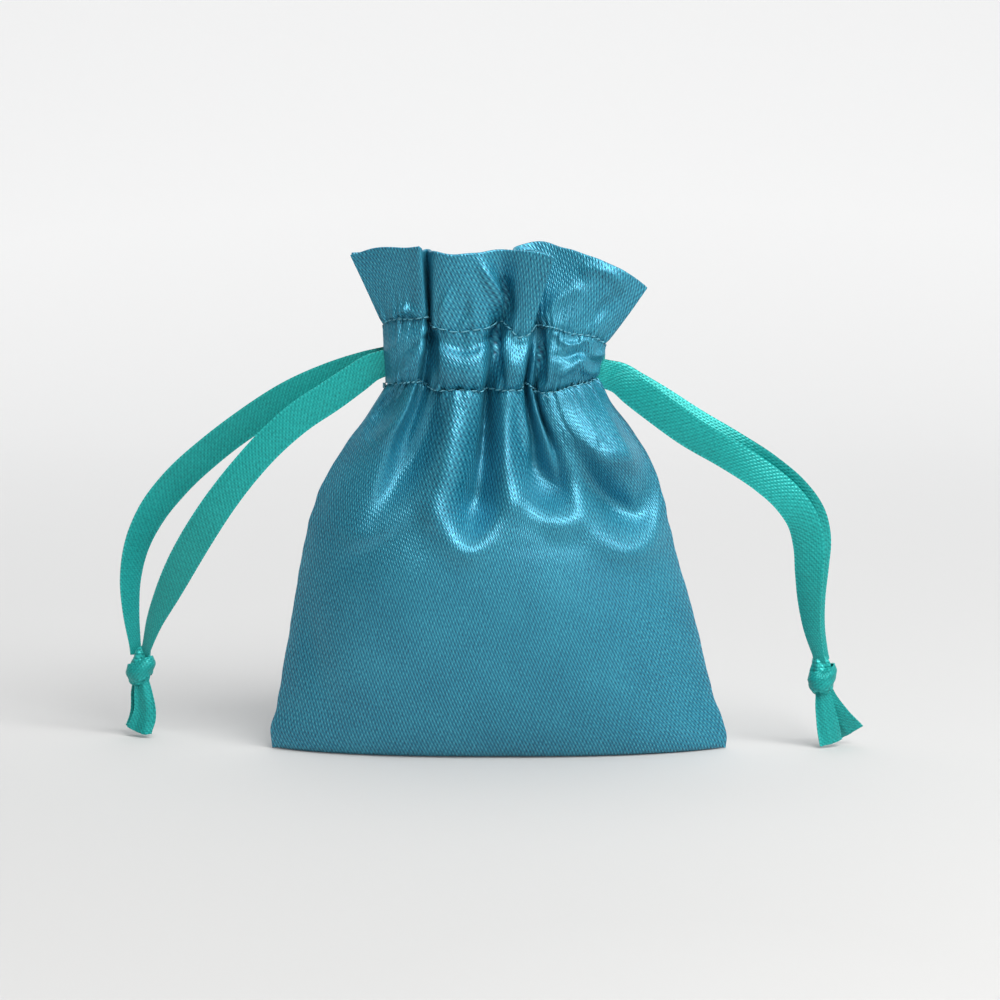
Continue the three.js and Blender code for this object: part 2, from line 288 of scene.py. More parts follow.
SATIN = woven_material(
    "satin", [(0.005, 0.07, 0.13), (0.014, 0.22, 0.34), (0.07, 0.45, 0.58)],
    (0.64, 22, 0.9, 70), 0.45, 0.45, 0.55, 0.36, gloss=0.5
)
LINING = woven_material(
    "lining", [(0.012, 0.1, 0.16), (0.035, 0.2, 0.28), (0.07, 0.29, 0.38)],
    (0.75, -20, 0.95, -68), 0.55, 0.1, 0.4, 0.2
)
RIBBON = woven_material(
    "ribbon", [(0.001, 0.18, 0.17), (0.003, 0.34, 0.32), (0.02, 0.49, 0.46)],
    (0.7, 45, 0.7, -45), 0.45, 0.35, 0.5, 0.2, gloss=0.35, edge=(2.85, 0.85)
)
THREAD = woven_material(
    "thread", [(0.05, 0.28, 0.38), (0.1, 0.4, 0.52), (0.2, 0.54, 0.64)],
    (0.3, 60, 0.3, -10), 0.5, 0.1, 0.5, 0.3
)

# ---------------------------------------------------------------- free ribbon ends

RIBBON_WIDTH = 6.35
RIBBON_THICKNESS = 0.3

# The routes that the CAD solids follow, in mm, from the casing down to the knots.
LEFT_FRONT_ROUTE = [
    (-24.2, -2.4, 82), (-26.6, -2.4, 81.1), (-29.8, -2.5, 78.9), (-35.3, -2.8, 75.1), (-41.5, -3.2, 71.0),
    (-47.6, -3.6, 65.7), (-53, -3.6, 59.8), (-58, -2.8, 53.4), (-62.8, -0.8, 46.2),
    (-66.9, 2.2, 39.2), (-70.6, 5.6, 32), (-73.6, 8.8, 25.6), (-75.6, 11.6, 19.6),
]
LEFT_BACK_ROUTE = [
    (-24.2, 2.4, 82.2), (-26.8, 2.5, 81.5), (-30, 3.2, 80.4), (-35.6, 5, 78.2), (-44.2, 7, 74.2),
    (-52.8, 9, 68.8), (-61.5, 11, 62.2), (-68.9, 12.4, 55.4), (-74.4, 13.3, 48.4),
    (-77.7, 14, 41.4), (-79.2, 14.5, 34), (-79.2, 14.8, 27), (-78.4, 14.6, 19.6),
]
RIGHT_FRONT_ROUTE = [
    (22.5, -1.7, 79.4), (25, -1.9, 78.6), (28.2, -2.8, 76.2), (32.8, -4, 72.9), (39.7, -5.4, 68.0),
    (48, -6.6, 63.2), (55, -6.9, 58.6), (60.2, -6.4, 54), (63.4, -5.6, 49.4),
    (64.8, -4.8, 44), (65, -4, 38), (65.2, -3, 32), (66, -1.8, 25.5), (67.4, -0.6, 20.2),
]
RIGHT_BACK_ROUTE = [
    (22.5, 1.7, 79.6), (25.2, 1.8, 78.9), (28.4, 1.4, 76.9), (33, 0.4, 74.1), (40.2, -1.4, 69.6),
    (48.6, -2.8, 64.8), (56, -3.4, 60.2), (61.6, -3.2, 55.4), (65, -2.4, 50.4),
    (66.6, -1.6, 44.8), (66.8, -0.8, 38.6), (66.8, 0, 32), (67.4, 0.8, 25.6), (68.6, 1.6, 20.2),
]
LEAD_LENGTH = 5                    # ribbon just outside the slit, which doesn't swing
KNOTTED_LENGTH = 1.8               # ribbon that runs on into the knot
HIDDEN_LENGTH = 12.8               # ribbon that runs on inside the channel, behind the slit
HIDDEN_BEND = 2.5                  # within the channel the ribbon turns level over this length
LEFT_CHANNEL_DEPTH = 2.55          # there it lies this far from the middle, against its own loop
RIGHT_CHANNEL_DEPTH = 2.3          # the same at the right
STRIP_COLUMNS = 13
LEAD_STEPS = 24
STRAND_STEPS = 160
CUP = 0.25                         # how far a ribbon's middle stands proud of its edges


def ribbon_strip(name, route, start, end, roll, steps):
    """A ribbon along part of a route. roll turns its face about the route, in degrees."""
    knots = arc_lengths(route)
    t = np.linspace(start, end, steps)
    inside = np.clip(t, 0, knots[-1])
    centre = hermite(knots, route, inside)
    ahead = hermite(knots, route, np.clip(inside + 0.2, 0, knots[-1]))
    behind = hermite(knots, route, np.clip(inside - 0.2, 0, knots[-1]))
    tangent = ahead - behind
    tangent /= np.linalg.norm(tangent, axis=1)[:, None]
    past_end = np.maximum(t - knots[-1], 0)[:, None]
    within = np.minimum(t, 0)[:, None]
    bend = HIDDEN_BEND * (np.exp(within / HIDDEN_BEND) - 1)
    level = np.array([np.sign(tangent[0, 0]), 0.0, 0.0])
    centre = centre + past_end * tangent + bend * tangent + (within - bend) * level
    entry = route[0]
    depth = LEFT_CHANNEL_DEPTH if entry[0] < 0 else RIGHT_CHANNEL_DEPTH
    centre[:, 1] += (np.sign(entry[1]) * depth - entry[1]) * (-bend[:, 0] / HIDDEN_BEND)
    face = np.tile([0.0, -1.0, 0.0], (steps, 1))
    face -= (face * tangent).sum(1)[:, None] * tangent
    face /= np.linalg.norm(face, axis=1)[:, None]
    across = np.cross(tangent, face)
    share = inside / knots[-1]
    angle = np.radians(hermite(*zip(*roll), share))[:, None]
    turned_face = face * np.cos(angle) + across * np.sin(angle)
    turned_across = across * np.cos(angle) - face * np.sin(angle)
    width = hermite(*zip(*WIDTHS), share)
    w = np.linspace(-1, 1, STRIP_COLUMNS)
    points = (
        centre[:, None, :]
        + turned_across[:, None, :] * (w[None, :, None] * width[:, None, None] / 2)
        + turned_face[:, None, :] * (CUP * (1 - w ** 2))[None, :, None]
    )
    piece = cloth(name, points, grid_uvs(w * RIBBON_WIDTH / 2, t), RIBBON, RIBBON_THICKNESS, offset=0)
    return piece, centre * MM


# Each pair gives the share of the way to the knot, and the width in mm or the roll in degrees there.
WIDTHS = [(0, 5.6), (0.08, RIBBON_WIDTH), (0.4, RIBBON_WIDTH), (0.78, RIBBON_WIDTH * 0.95), (1, 2.6)]
LEFT_FRONT_ROLL = [(0, -12), (0.3, -6), (0.6, 4), (0.85, 14), (1, 40)]
LEFT_BACK_ROLL = [(0, 10), (0.3, 0), (0.6, -16), (0.8, -38), (1, -30)]
RIGHT_FRONT_ROLL = [(0, 0), (0.3, 6), (0.55, -10), (0.75, 16), (1, 30)]
RIGHT_BACK_ROLL = [(0, -8), (0.3, -14), (0.55, 18), (0.75, -26), (1, -40)]


def free_end(side, layer, route, roll):
    """The lead just outside the slit and the strand from there to the knot."""
    name = f"{side}_{layer}"
    total = arc_lengths(route)[-1]
    lead, _ = ribbon_strip(name + "_ribbon_lead", route, -HIDDEN_LENGTH, LEAD_LENGTH, roll, LEAD_STEPS)
    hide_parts(name + "_lead")
    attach(lead, side + "_ribbon")
    strand, path = ribbon_strip(
        name + "_ribbon_strand", route, LEAD_LENGTH, total + KNOTTED_LENGTH, roll, STRAND_STEPS
    )
    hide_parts(name + "_strand")
    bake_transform(strand)
    return strand, path


for side, layer, route, roll in (
    ("left", "front", LEFT_FRONT_ROUTE, LEFT_FRONT_ROLL),
    ("left", "back", LEFT_BACK_ROUTE, LEFT_BACK_ROLL),
    ("right", "front", RIGHT_FRONT_ROUTE, RIGHT_FRONT_ROLL),
    ("right", "back", RIGHT_BACK_ROUTE, RIGHT_BACK_ROLL),
):
    free_end(side, layer, route, roll)

# ---------------------------------------------------------------- knots and tails

KNOT_LEANS = {"left": 0.14, "right": -0.1}
KNOTS = {"left": np.array([-77.1, 13.2, 15.0]), "right": np.array([68.3, 0.6, 15.2])}
TAILS = {
    ("left", "front"): [(-76.9, 12.9, 13), (-76.5, 12.5, 9.6), (-76.2, 12.4, 5.4), (-77.4, 12.2, 1.0)],
    ("left", "back"): [(-77.3, 14, 13), (-77.4, 14.8, 9.6), (-77.2, 15.2, 5.6), (-78, 16.4, 1.4)],
    ("right", "front"): [(68.4, 0.2, 13), (68.8, -0.1, 9.6), (69.5, 0.2, 5.6), (70.4, 1, 0.9)],
    ("right", "back"): [(68.8, 1, 13.2), (70.2, 1.8, 9.6), (72.4, 2.8, 6.2), (75, 4, 2.8)],
}


def grid_piece(name, points, uvs, material, thickness, offset=0, flip=False):
    piece = cloth(name, points, uvs, material, thickness, flip=flip, offset=offset)
    return piece


def band(name, path, faces, widths, thickness, cup, creases, seed, columns=15):
    """A crumpled ribbon through path, in mm. faces are the ways that its face looks."""
    path = np.asarray(path, float)
    tangent = np.gradient(path, axis=0)
    tangent /= np.linalg.norm(tangent, axis=1)[:, None]
    face = np.asarray(faces, float)
    face = face - (face * tangent).sum(1)[:, None] * tangent
    face /= np.linalg.norm(face, axis=1)[:, None]
    across = np.cross(tangent, face)
    w = np.linspace(-1, 1, columns)
    along = arc_lengths(path)
    ripple = np.stack([noise_1d(w * 4 + k * 0.35, seed, waves=5) for k in along * 0.25])
    lift = cup * (1 - w[None, :] ** 2) + creases * ripple
    points = (
        path[:, None, :]
        + across[:, None, :] * (w[None, :, None] * np.asarray(widths)[:, None, None] / 2)
        + face[:, None, :] * lift[..., None]
    )
    return grid_piece(name, points, grid_uvs(w * RIBBON_WIDTH / 2, along), RIBBON, thickness)


KNOT_FOOT = -4.2                   # below the knot's middle
KNOT_HEIGHT = 9.2


def knot_core(name, centre, lean, seed):
    """The gathered ribbons in the middle of a knot: a lobed spindle, open at no end."""
    rings, sides = 26, 40
    t = np.linspace(0, 1, rings)
    theta = np.linspace(0, 2 * math.pi, sides, endpoint=False)
    radius = hermite([0, 0.08, 0.3, 0.5, 0.72, 0.92, 1], [0.1, 1.3, 2.0, 2.2, 1.9, 1.2, 0.1], t)
    height = KNOT_FOOT + KNOT_HEIGHT * t
    vertices = []
    for r, z in zip(radius, height):
        lobes = 1 + 0.13 * np.sin(4 * theta + 0.5 * z + seed) + 0.07 * np.sin(7 * theta - 0.9 * z)
        for a, k in zip(theta, lobes):
            vertices.append((
                (centre[0] + lean * z + r * k * math.cos(a)) * MM,
                (centre[1] + 0.85 * r * k * math.sin(a)) * MM,
                (centre[2] + z) * MM,
            ))
    faces = []
    for j in range(rings - 1):
        for i in range(sides):
            k = (i + 1) % sides
            faces.append((j * sides + i, j * sides + k, (j + 1) * sides + k, (j + 1) * sides + i))
    faces.append(tuple(range(sides))[::-1])
    faces.append(tuple(range((rings - 1) * sides, rings * sides)))
    uvs = [(a * 2.0, z) for z in height for a in theta]
    core = new_mesh(name, vertices, faces, uvs)
    core.data.materials.append(RIBBON)
    return core


def knot_wrap(name, centre, turn, rise, radius, width, seed, height=0.0):
    """A band of ribbon wound once around a knot, aslant."""
    a = np.radians(np.linspace(turn[0], turn[1], 60))
    share = np.linspace(-1, 1, len(a))
    swell = radius * (1 - 0.28 * share ** 4)
    path = np.stack([
        centre[0] + swell * np.cos(a),
        centre[1] + 0.9 * swell * np.sin(a),
        centre[2] + height + rise * share + 0.3 * np.sin(2 * a + seed),
    ], axis=1)
    faces = np.stack([np.cos(a), np.sin(a), 0.15 * np.sin(3 * a)], axis=1)
    widths = width * (1 - 0.45 * share ** 2) * (1 + 0.08 * np.sin(3 * a + seed))
    return band(name, path, faces, widths, 0.32, 0.55, 0.13, seed)


def knot_tail(name, route, start_width, end_width, cut, twist, seed):
    """A cut end of ribbon that spreads out below the knot."""
    knots = arc_lengths(route)
    t = np.linspace(0, knots[-1], 46)
    path = hermite(knots, route, t)
    angle = np.radians(np.linspace(0, twist, len(t)))
    faces = np.stack([np.sin(angle), -np.cos(angle), 0.15 * np.sin(t * 0.6)], axis=1)
    widths = np.interp(t / knots[-1], [0, 0.3, 1], [start_width, start_width + 1.2, end_width])
    piece = band(name, path, faces, widths, 0.26, 0.35, 0.16, seed, columns=21)
    shape_cut(piece, path, cut, seed)
    return piece


FRAY = 0.12                        # how unevenly a tail is cut, in mm
LOWEST = 0.15                      # no point of a cut tail or a panel is set nearer the floor, in mm


def shape_cut(piece, path, cut, seed):
    """Pulls the last stretch of a tail up, unevenly, so that its cut end isn't square."""
    rng = np.random.default_rng(seed)
    low = min(v.co.z for v in piece.data.vertices)
    mean_x = path[-1][0] * MM
    half_width = 3 * MM
    for vertex in piece.data.vertices:
        near = max(0.0, 1 - (vertex.co.z - low) / half_width)
        side = (vertex.co.x - mean_x) / half_width
        frayed = rng.uniform(-FRAY, FRAY) * near ** 3
        vertex.co.z += (cut(side) * near + frayed) * MM
    for vertex in piece.data.vertices:
        vertex.co.z = max(vertex.co.z, LOWEST * MM)


def build_knot(side, seed):
    centre = KNOTS[side]
    core = knot_core(side + "_knot_core", centre, KNOT_LEANS[side], seed)
    main = knot_wrap(side + "_knot_wrap", centre, (-215, 60), 1.4, 2.5, 4.2, seed)
    under = knot_wrap(side + "_knot_under_wrap", centre, (-40, 230), -1.7, 2.15, 3.4, seed + 1, -0.7)
    for piece in (core, main, under):
        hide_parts(side + "_knot")
        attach(piece, side + "_ends")
    tails = []
    for layer in ("front", "back"):
        rounded = side == "left"
        lean_cut = -0.5 if layer == "front" else 0.7
        cut = (lambda u: 1.0 * u * u) if rounded else (lambda u, k=lean_cut: 0.8 * k * u)
        twist = {"left": -24, "right": 30}[side] * (1 if layer == "front" else -1)
        tail = knot_tail(f"{side}_{layer}_ribbon_tail", TAILS[side, layer], 2.8, 6.0, cut, twist, seed + 3)
        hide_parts(f"{side}_{layer}_tail")
        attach(tail, side + "_ends")
        tails.append(tail)
    return [core, main, under], tails


for side, seed in (("left", 3), ("right", 8)):
    knot_pieces, tail_pieces = build_knot(side, seed)

# ---------------------------------------------------------------- the cloth's folds
# Each row lists the same 25 places across the front, from the left edge to the right: x, y, z in mm.

TOP_ROW = [
    (-30.8, -2.5, 104.4), (-27.5, -4, 105.2), (-23.9, -6, 105.9), (-19, -9, 106.2), (-16.2, -11, 106.1),
    (-15.6, -7, 105.7), (-15.0, -4.5, 105.5), (-14.5, -7.5, 105.4), (-13.4, -11.5, 105.3),
    (-8.6, -13, 105.0), (-3.5, -12, 105.3), (0.5, -10.8, 105.6), (5, -12.5, 105.6), (9, -13.8, 105.2),
    (11.3, -14.2, 104.4), (10.2, -12.4, 104.9), (6.5, -9.6, 105.6), (3.8, -6.5, 105.6),
    (3.8, -3.6, 106.1), (6.5, -2.0, 106.9), (10, -2.6, 107), (13.6, -4.6, 105.8),
    (20.1, -7.4, 103.9), (25, -7.6, 101.9), (30.6, -4.6, 97.4),
]
UPPER_ROW = [
    (-24.3, -3, 90.2), (-23, -4.5, 90.9), (-21, -6, 91.5), (-18, -7.5, 91.6), (-15.4, -9, 92.1),
    (-14.7, -6.5, 92.0), (-14.4, -4.0, 91.4), (-14.1, -6.6, 90.6), (-13.3, -9.5, 90.0),
    (-8.2, -10.6, 89.2), (-2.6, -10.2, 90.0), (0.2, -5.4, 91.0), (2.1, -9, 89.9), (4.4, -10, 88.0),
    (6.3, -9.8, 88.8), (6.9, -7.4, 89.4), (7.3, -6, 90), (7.8, -5.6, 90.2),
    (8.4, -5.7, 90.3), (9.2, -7, 90.2), (10.5, -8.6, 90), (12.5, -9.3, 89.5),
    (15.5, -9, 88.7), (19, -7.5, 88.1), (22.4, -4, 86),
]
LOWER_ROW = [
    (-23.6, -2.2, 77.6), (-22.6, -4.5, 78), (-20.8, -6.3, 78.1), (-18.6, -7.6, 78.5), (-17.0, -7.8, 78.6),
    (-16.4, -4.4, 78.4), (-15.6, -3.5, 78), (-14.4, -6.8, 77.4), (-13.0, -9, 76.9),
    (-8.7, -10.2, 77.2), (-3.6, -9.8, 76.9), (-2.9, -4.0, 77), (-0.2, -8.6, 76.9), (2.5, -9.8, 77),
    (4.6, -8.8, 77), (4.9, -5.6, 77.6), (5.3, -4.2, 78), (6.1, -7.2, 78),
    (6.9, -7.6, 77.5), (7.3, -4.4, 76.8), (8.6, -8.2, 76.4), (11.2, -9.2, 76.6),
    (14.5, -8.4, 77.6), (17.6, -6.4, 78.2), (20.6, -2.6, 79),
]
LOWER_STITCH_Z = 77.0

# Outline of the body at rising heights: z, left edge, right edge, depth of the crest.
BODY_OUTLINE = [
    (0, -48.0, 48.0, 10.6), (3, -48.4, 48.2, 12.6), (10, -46.9, 45.8, 15.6), (20, -45.2, 43.2, 17.9),
    (32, -43.1, 40.2, 18.9), (42, -41.4, 37.2, 18.2), (49, -39.8, 35.6, 16.8), (57, -36.9, 33.6, 14.2),
    (62, -34.0, 31.5, 12.5), (66, -31.2, 28.8, 11), (72, -26.6, 23.6, 9.2), (77, -23.6, 20.6, 8.4),
]


def material_places(row):
    """Where each listed place lies across the flat cloth, from -1 to 1."""
    along = arc_lengths(row)
    return 2 * along / along[-1] - 1


PLACES = material_places(TOP_ROW)
CLOTH_HALF_WIDTH = 50.0
FOOT_RADIUS = 1.4                  # of the turn from the wall to the bottom


def fold_relief(x, z, strokes, softness=0.0):
    """Sum of soft ridges and valleys. Each stroke lists x, z, height, width along its path."""
    total = np.zeros_like(x)
    for stroke in strokes:
        stroke = np.asarray(stroke, float)
        knots = arc_lengths(stroke[:, :2])
        fine = hermite(knots, stroke, np.linspace(0, knots[-1], 50))
        best = np.full(x.shape, 1e9)
        height = np.zeros_like(x)
        for sx, sz, h, w in fine:
            distance = ((x - sx) ** 2 + (z - sz) ** 2) / (w * w + softness ** 2)
            closer = distance < best
            best = np.where(closer, distance, best)
            height = np.where(closer, h, height)
        total += height * np.exp(-best)
    return total


POCKET_STRENGTH = 1.0              # times the depth of the strokes, in the lower part
PLEAT_STRENGTH = 1.6               # and between the pleats
FOLD_SOFTNESS = 1.5

FRONT_STROKES = [
    # deep valley left of the middle, and the pocket at its foot
    [(-2.1, 77, -0.6, 1.6), (-3.5, 67, -2.4, 2.1), (-3.9, 59, -4.8, 2.7), (-4.9, 52.4, -6.4, 3.3),
     (-5.6, 48.8, -3.2, 2.4)],
    # ridges on both sides of it
    [(-8.4, 77, 0.5, 3.2), (-10.1, 67, 1.8, 3.2), (-11.5, 58, 2.4, 2.8), (-13, 52, 1.4, 2.2)],
    [(1.6, 77, 0.4, 1.7), (1.6, 67, 1.3, 1.8), (1.8, 59, 1.8, 2.0), (2.7, 54.3, 1.0, 1.8)],
    # pointed rim under the pocket
    [(-14.2, 54, 0.9, 2.2), (-10.6, 49.2, 1.7, 2.4), (-6.0, 45.6, 2.6, 2.8), (-2.0, 49.2, 1.8, 2.4),
     (2.7, 54.6, 0.8, 2.2)],
    # middle valley, its pocket and its rim
    [(3.9, 75, -0.5, 1.5), (4.6, 67, -1.9, 2.1), (7.5, 60.5, -4.0, 2.9), (10.7, 56.4, -5.2, 3.5),
     (12.8, 53.8, -1.8, 2.4)],
    [(4.1, 55.4, 0.7, 2.0), (9, 52.6, 1.6, 2.2), (13.8, 51.2, 2.1, 2.4), (18.8, 52.4, 0.9, 2.2)],
    # thin ridge between the middle and the right pocket
    [(8.9, 71.9, 0.7, 1.6), (12.8, 66.9, 1.5, 1.8), (16.2, 60.8, 2.0, 1.9), (18.4, 54.3, 1.4, 2.0),
     (20.6, 49.2, 0.8, 2.0)],
    # right pocket and its rim
    [(10.3, 70.5, -0.7, 1.5), (15.2, 64, -2.2, 1.9), (19, 58, -4.2, 2.5), (24.2, 52.2, -6.6, 3.8),
     (28.2, 50.6, -5.0, 3.4),
     (31, 54, -3.0, 3.0)],
    [(19, 50.6, 0.8, 2.2), (23.5, 46.4, 2.0, 2.4), (27.8, 44.2, 2.6, 2.8), (32.5, 46.0, 1.8, 2.4),
     (35, 51, 0.9, 2.2)],
    # shiny fold that hangs over the right pocket
    [(12.4, 71.5, 0.6, 2.6), (18.6, 67.2, 2.4, 4.0), (23.3, 62.8, 4.0, 4.4), (24.2, 60.4, 2.2, 2.6)],
    [(25.5, 68, 1.0, 3.4), (29, 63.8, 3.0, 3.2), (31, 61.4, 1.4, 2.2)],
    # folds that sweep down to the left
    [(-13.6, 78, -0.5, 1.6), (-14.2, 69.4, -2.0, 2.2), (-17.7, 62.2, -3.2, 2.8), (-22, 56, -2.8, 2.5),
     (-26, 50.4, -1.2, 2.0)],
    [(-18.4, 53.8, 0.5, 1.4), (-23.5, 50, 1.3, 1.6), (-29.5, 46.2, 0.6, 1.8)],
    [(-17, 51.3, -0.3, 1.5), (-22, 47.4, -0.9, 1.8), (-28, 42.6, -1.0, 2.4), (-34, 38, -0.3, 2.6)],
    [(-15.9, 78, 0.4, 1.3), (-18.8, 73.4, 1.4, 1.5), (-22.5, 69.5, 1.7, 1.7), (-26.2, 66.1, 0.8, 1.8)],
    [(-19.6, 77.5, -0.8, 1.4), (-22.7, 73.5, -2.0, 1.8), (-26.4, 68.6, -1.2, 1.8)],
    # dimple at the lower left
    [(-40.4, 31, -0.3, 2.2), (-39.2, 24, -0.9, 2.6), (-36.8, 14, -0.6, 3), (-35, 8, -0.2, 3)],
]

BACK_STROKES = [
    [(-15, 76, -0.6, 2), (-17.5, 66, -2.2, 2.8), (-23, 56, -3.4, 3.8), (-26, 50, -1.4, 3)],
    [(-11, 76, 0.6, 2.4), (-12.6, 66, 1.6, 2.8), (-14, 55, 1.6, 3.2), (-13, 48, 0.8, 3)],
    [(-29, 49, 0.8, 2.2), (-24, 45, 1.4, 2.4), (-18, 45.4, 1.2, 2.4), (-13, 49, 0.8, 2.2)],
    [(-5, 76, -0.5, 1.8), (-6, 67, -1.9, 2.4), (-5.4, 58, -3.0, 3.2), (-3.6, 52.5, -3.2, 3.6),
     (-2.6, 49, -1, 2.6)],
    [(-9, 48, 0.8, 2.0), (-3, 44.6, 1.6, 2.3), (3, 46.6, 1.3, 2.2), (7, 51, 0.6, 2)],
    [(1.5, 76, 0.6, 1.8), (1.2, 66, 1.3, 2.0), (3.2, 57, 1.5, 2.4), (7, 51, 0.6, 2.2)],
    [(7.4, 76, -0.5, 1.8), (9, 66, -2.0, 2.4), (13.6, 57, -3.6, 3.6), (17, 52, -3.0, 3.8), (19, 48.6, -1, 3)],
    [(9, 49.6, 0.7, 2.0), (15, 45.6, 1.5, 2.2), (21, 44.4, 1.6, 2.4), (27, 48, 1.0, 2.2)],
    [(13.6, 73, 0.7, 1.8), (18, 66, 1.6, 2.4), (24, 58, 1.8, 2.8), (28, 52, 1.0, 2.6)],
    [(20, 70, -0.8, 1.8), (25, 63, -1.8, 2.4), (30, 56.6, -1.4, 2.4)],
    [(38, 33, -0.3, 2.6), (36, 24, -0.9, 3.4), (34, 14, -0.6, 3.4)],
]


PANEL_ROWS = 190
PANEL_COLUMNS = 281
SEAM_GAP = 0.1                     # from the side seam's middle to the cloth
SLIT_GAP = 2.3                     # more than that beside the slits


def body_grid(side, rows_z, strokes, lower_row, columns=PANEL_COLUMNS):
    """Points of a body panel. side is -1 for the front and 1 for the back."""
    s = np.linspace(-1, 1, columns)
    lower = hermite(PLACES, lower_row, s)
    outline = np.asarray(BODY_OUTLINE, float)
    points = np.zeros((len(rows_z), len(s), 3))
    _, left, right, crest = hermite(outline[:, 0], outline, np.asarray(rows_z)).T
    top_left, top_right = lower[0, 0], lower[-1, 0]
    top_place = (lower[:, 0] - (top_left + top_right) / 2) / ((top_right - top_left) / 2)
    lens_top = 2.4 + 6.2 * (1 - np.abs(s) ** 2.2) ** 0.9
    for j, z in enumerate(rows_z):
        follow = smooth(34, LOWER_STITCH_Z, z) ** 1.3
        place = top_place * follow + s * (1 - follow)
        x = (left[j] + right[j]) / 2 + (right[j] - left[j]) / 2 * place
        edge = SEAM_GAP + SLIT_GAP * smooth(70, LOWER_STITCH_Z, z)
        lens = edge + (crest[j] - edge) * np.clip(1 - np.abs(place) ** 2.6, 0, 1) ** 0.85
        pleats = smooth(50, LOWER_STITCH_Z, z) ** 1.2 * (np.abs(lower[:, 1]) - lens_top)
        points[j, :, 0] = x
        points[j, :, 1] = lens + pleats
        points[j, :, 2] = z + (lower[:, 2] - LOWER_STITCH_Z) * smooth(60, LOWER_STITCH_Z, z)
    fade = smooth(0.0, 0.12, 1 - np.abs(s))[None, :]
    if side > 0:
        # the back stands out past the left seam
        beside_seam = smooth(-1, -0.94, s) * smooth(-0.72, -0.94, s)
        points[..., 0] -= 1.9 * beside_seam[None, :] * np.exp(-((points[..., 2] - 60) / 13) ** 2)
    relief = fold_relief(points[..., 0], points[..., 2], strokes, FOLD_SOFTNESS)
    strength = POCKET_STRENGTH + (PLEAT_STRENGTH - POCKET_STRENGTH) * smooth(55, 70, points[..., 2])
    points[..., 1] += strength * fade * relief
    under = np.clip(FOOT_RADIUS - points[..., 2], 0, FOOT_RADIUS)
    points[..., 1] -= FOOT_RADIUS - np.sqrt(FOOT_RADIUS ** 2 - under ** 2)
    points[..., 1] = np.maximum(points[..., 1], 0.1)
    points[..., 1] *= side
    points[..., 2] = np.maximum(points[..., 2], LOWEST)
    return points


# ---------------------------------------------------------------- cloth simulation of the body

SIM_SCALE = 10                     # the cloth is simulated ten times larger
SIM_COLUMNS = 141
SIM_ROWS = np.linspace(FOOT_RADIUS, LOWER_STITCH_Z, 112)
SIM_FRAMES = 16
FILL_TOP = 46                      # the pouch is puffed out up to here
SLACK_PRESSURE = 0.1               # share of the pressure left above that
SIDE_SLACK = 0.03                  # spare width and length of the cloth among the folds
FALL_SLACK = 0.03
HOLD_LOW = 0.6                     # how firmly what is inside keeps the cloth in shape
HOLD_HIGH = 0.16
PANEL_LENGTH = 84                  # flat cloth from the foot to the lower row of stitches
FOOT_ROWS = np.linspace(0.05, FOOT_RADIUS, 6)[:-1]


def flat_cloth(points):
    """The panel laid flat: as long and wide as its shape asks, with some slack in the folds."""
    columns = points.shape[1]
    slack = smooth(40, 54, SIM_ROWS) * smooth(80, 68, SIM_ROWS)
    along = np.array([arc_lengths(row) for row in points])
    along = (along - along[:, -1:] / 2) * (1 + SIDE_SLACK * slack)[:, None]
    climb = np.linalg.norm(np.diff(points, axis=0), axis=2) ** 2 - np.diff(along, axis=0) ** 2
    steps = np.sqrt(np.maximum(climb, 0.04))[:, columns // 6:-columns // 6].mean(1)
    steps *= 1 + FALL_SLACK * slack[1:]
    flat = np.zeros_like(points)
    flat[..., 0] = along
    flat[..., 2] = np.concatenate([[0], np.cumsum(steps)])[:, None]
    return flat


def simulate(points, flip):
    """Lets the panel billow and fold between its fixed seams, stitches and foot."""
    rows, columns = points.shape[:2]
    piece = new_mesh("sim", points.reshape(-1, 3) * MM * SIM_SCALE, grid_faces(rows, columns, flip))
    piece.shape_key_add(name="Basis")
    rest = piece.shape_key_add(name="rest")
    flat = flat_cloth(points).reshape(-1, 3) * MM * SIM_SCALE
    rest.data.foreach_set("co", flat.ravel())
    edge = np.zeros((rows, columns), bool)
    edge[0] = edge[-1] = True
    edge[:, 0] = edge[:, -1] = True
    pins = piece.vertex_groups.new(name="pins")
    for j in range(rows):
        hold = HOLD_HIGH + (HOLD_LOW - HOLD_HIGH) * float(smooth(45, 39, SIM_ROWS[j]))
        pins.add(list(range(j * columns, (j + 1) * columns)), hold, "REPLACE")
    pins.add(np.flatnonzero(edge.ravel()).tolist(), 1.0, "REPLACE")
    fill = piece.vertex_groups.new(name="fill")
    for j in range(rows):
        weight = 1 - (1 - SLACK_PRESSURE) * float(smooth(FILL_TOP - 8, FILL_TOP + 8, SIM_ROWS[j]))
        fill.add(list(range(j * columns, (j + 1) * columns)), weight, "REPLACE")
    modifier = piece.modifiers.new("cloth", "CLOTH")
    settings = modifier.settings
    settings.quality = 6
    settings.mass = 0.2
    settings.tension_stiffness = 25
    settings.compression_stiffness = 25
    settings.shear_stiffness = 10
    settings.bending_stiffness = 1.5
    settings.air_damping = 1
    settings.use_pressure = True
    settings.uniform_pressure_force = 1.5
    settings.vertex_group_mass = "pins"
    settings.vertex_group_pressure = "fill"
    settings.rest_shape_key = rest
    settings.effector_weights.gravity = 0.25
    modifier.collision_settings.use_collision = False
    for number in range(1, SIM_FRAMES + 1):
        bpy.context.scene.frame_set(number)
    moved = piece.evaluated_get(bpy.context.evaluated_depsgraph_get())
    result = np.zeros(rows * columns * 3)
    moved.data.vertices.foreach_get("co", result)
    bpy.context.scene.frame_set(1)
    bpy.data.objects.remove(piece)
    return result.reshape(rows, columns, 3) / (MM * SIM_SCALE)


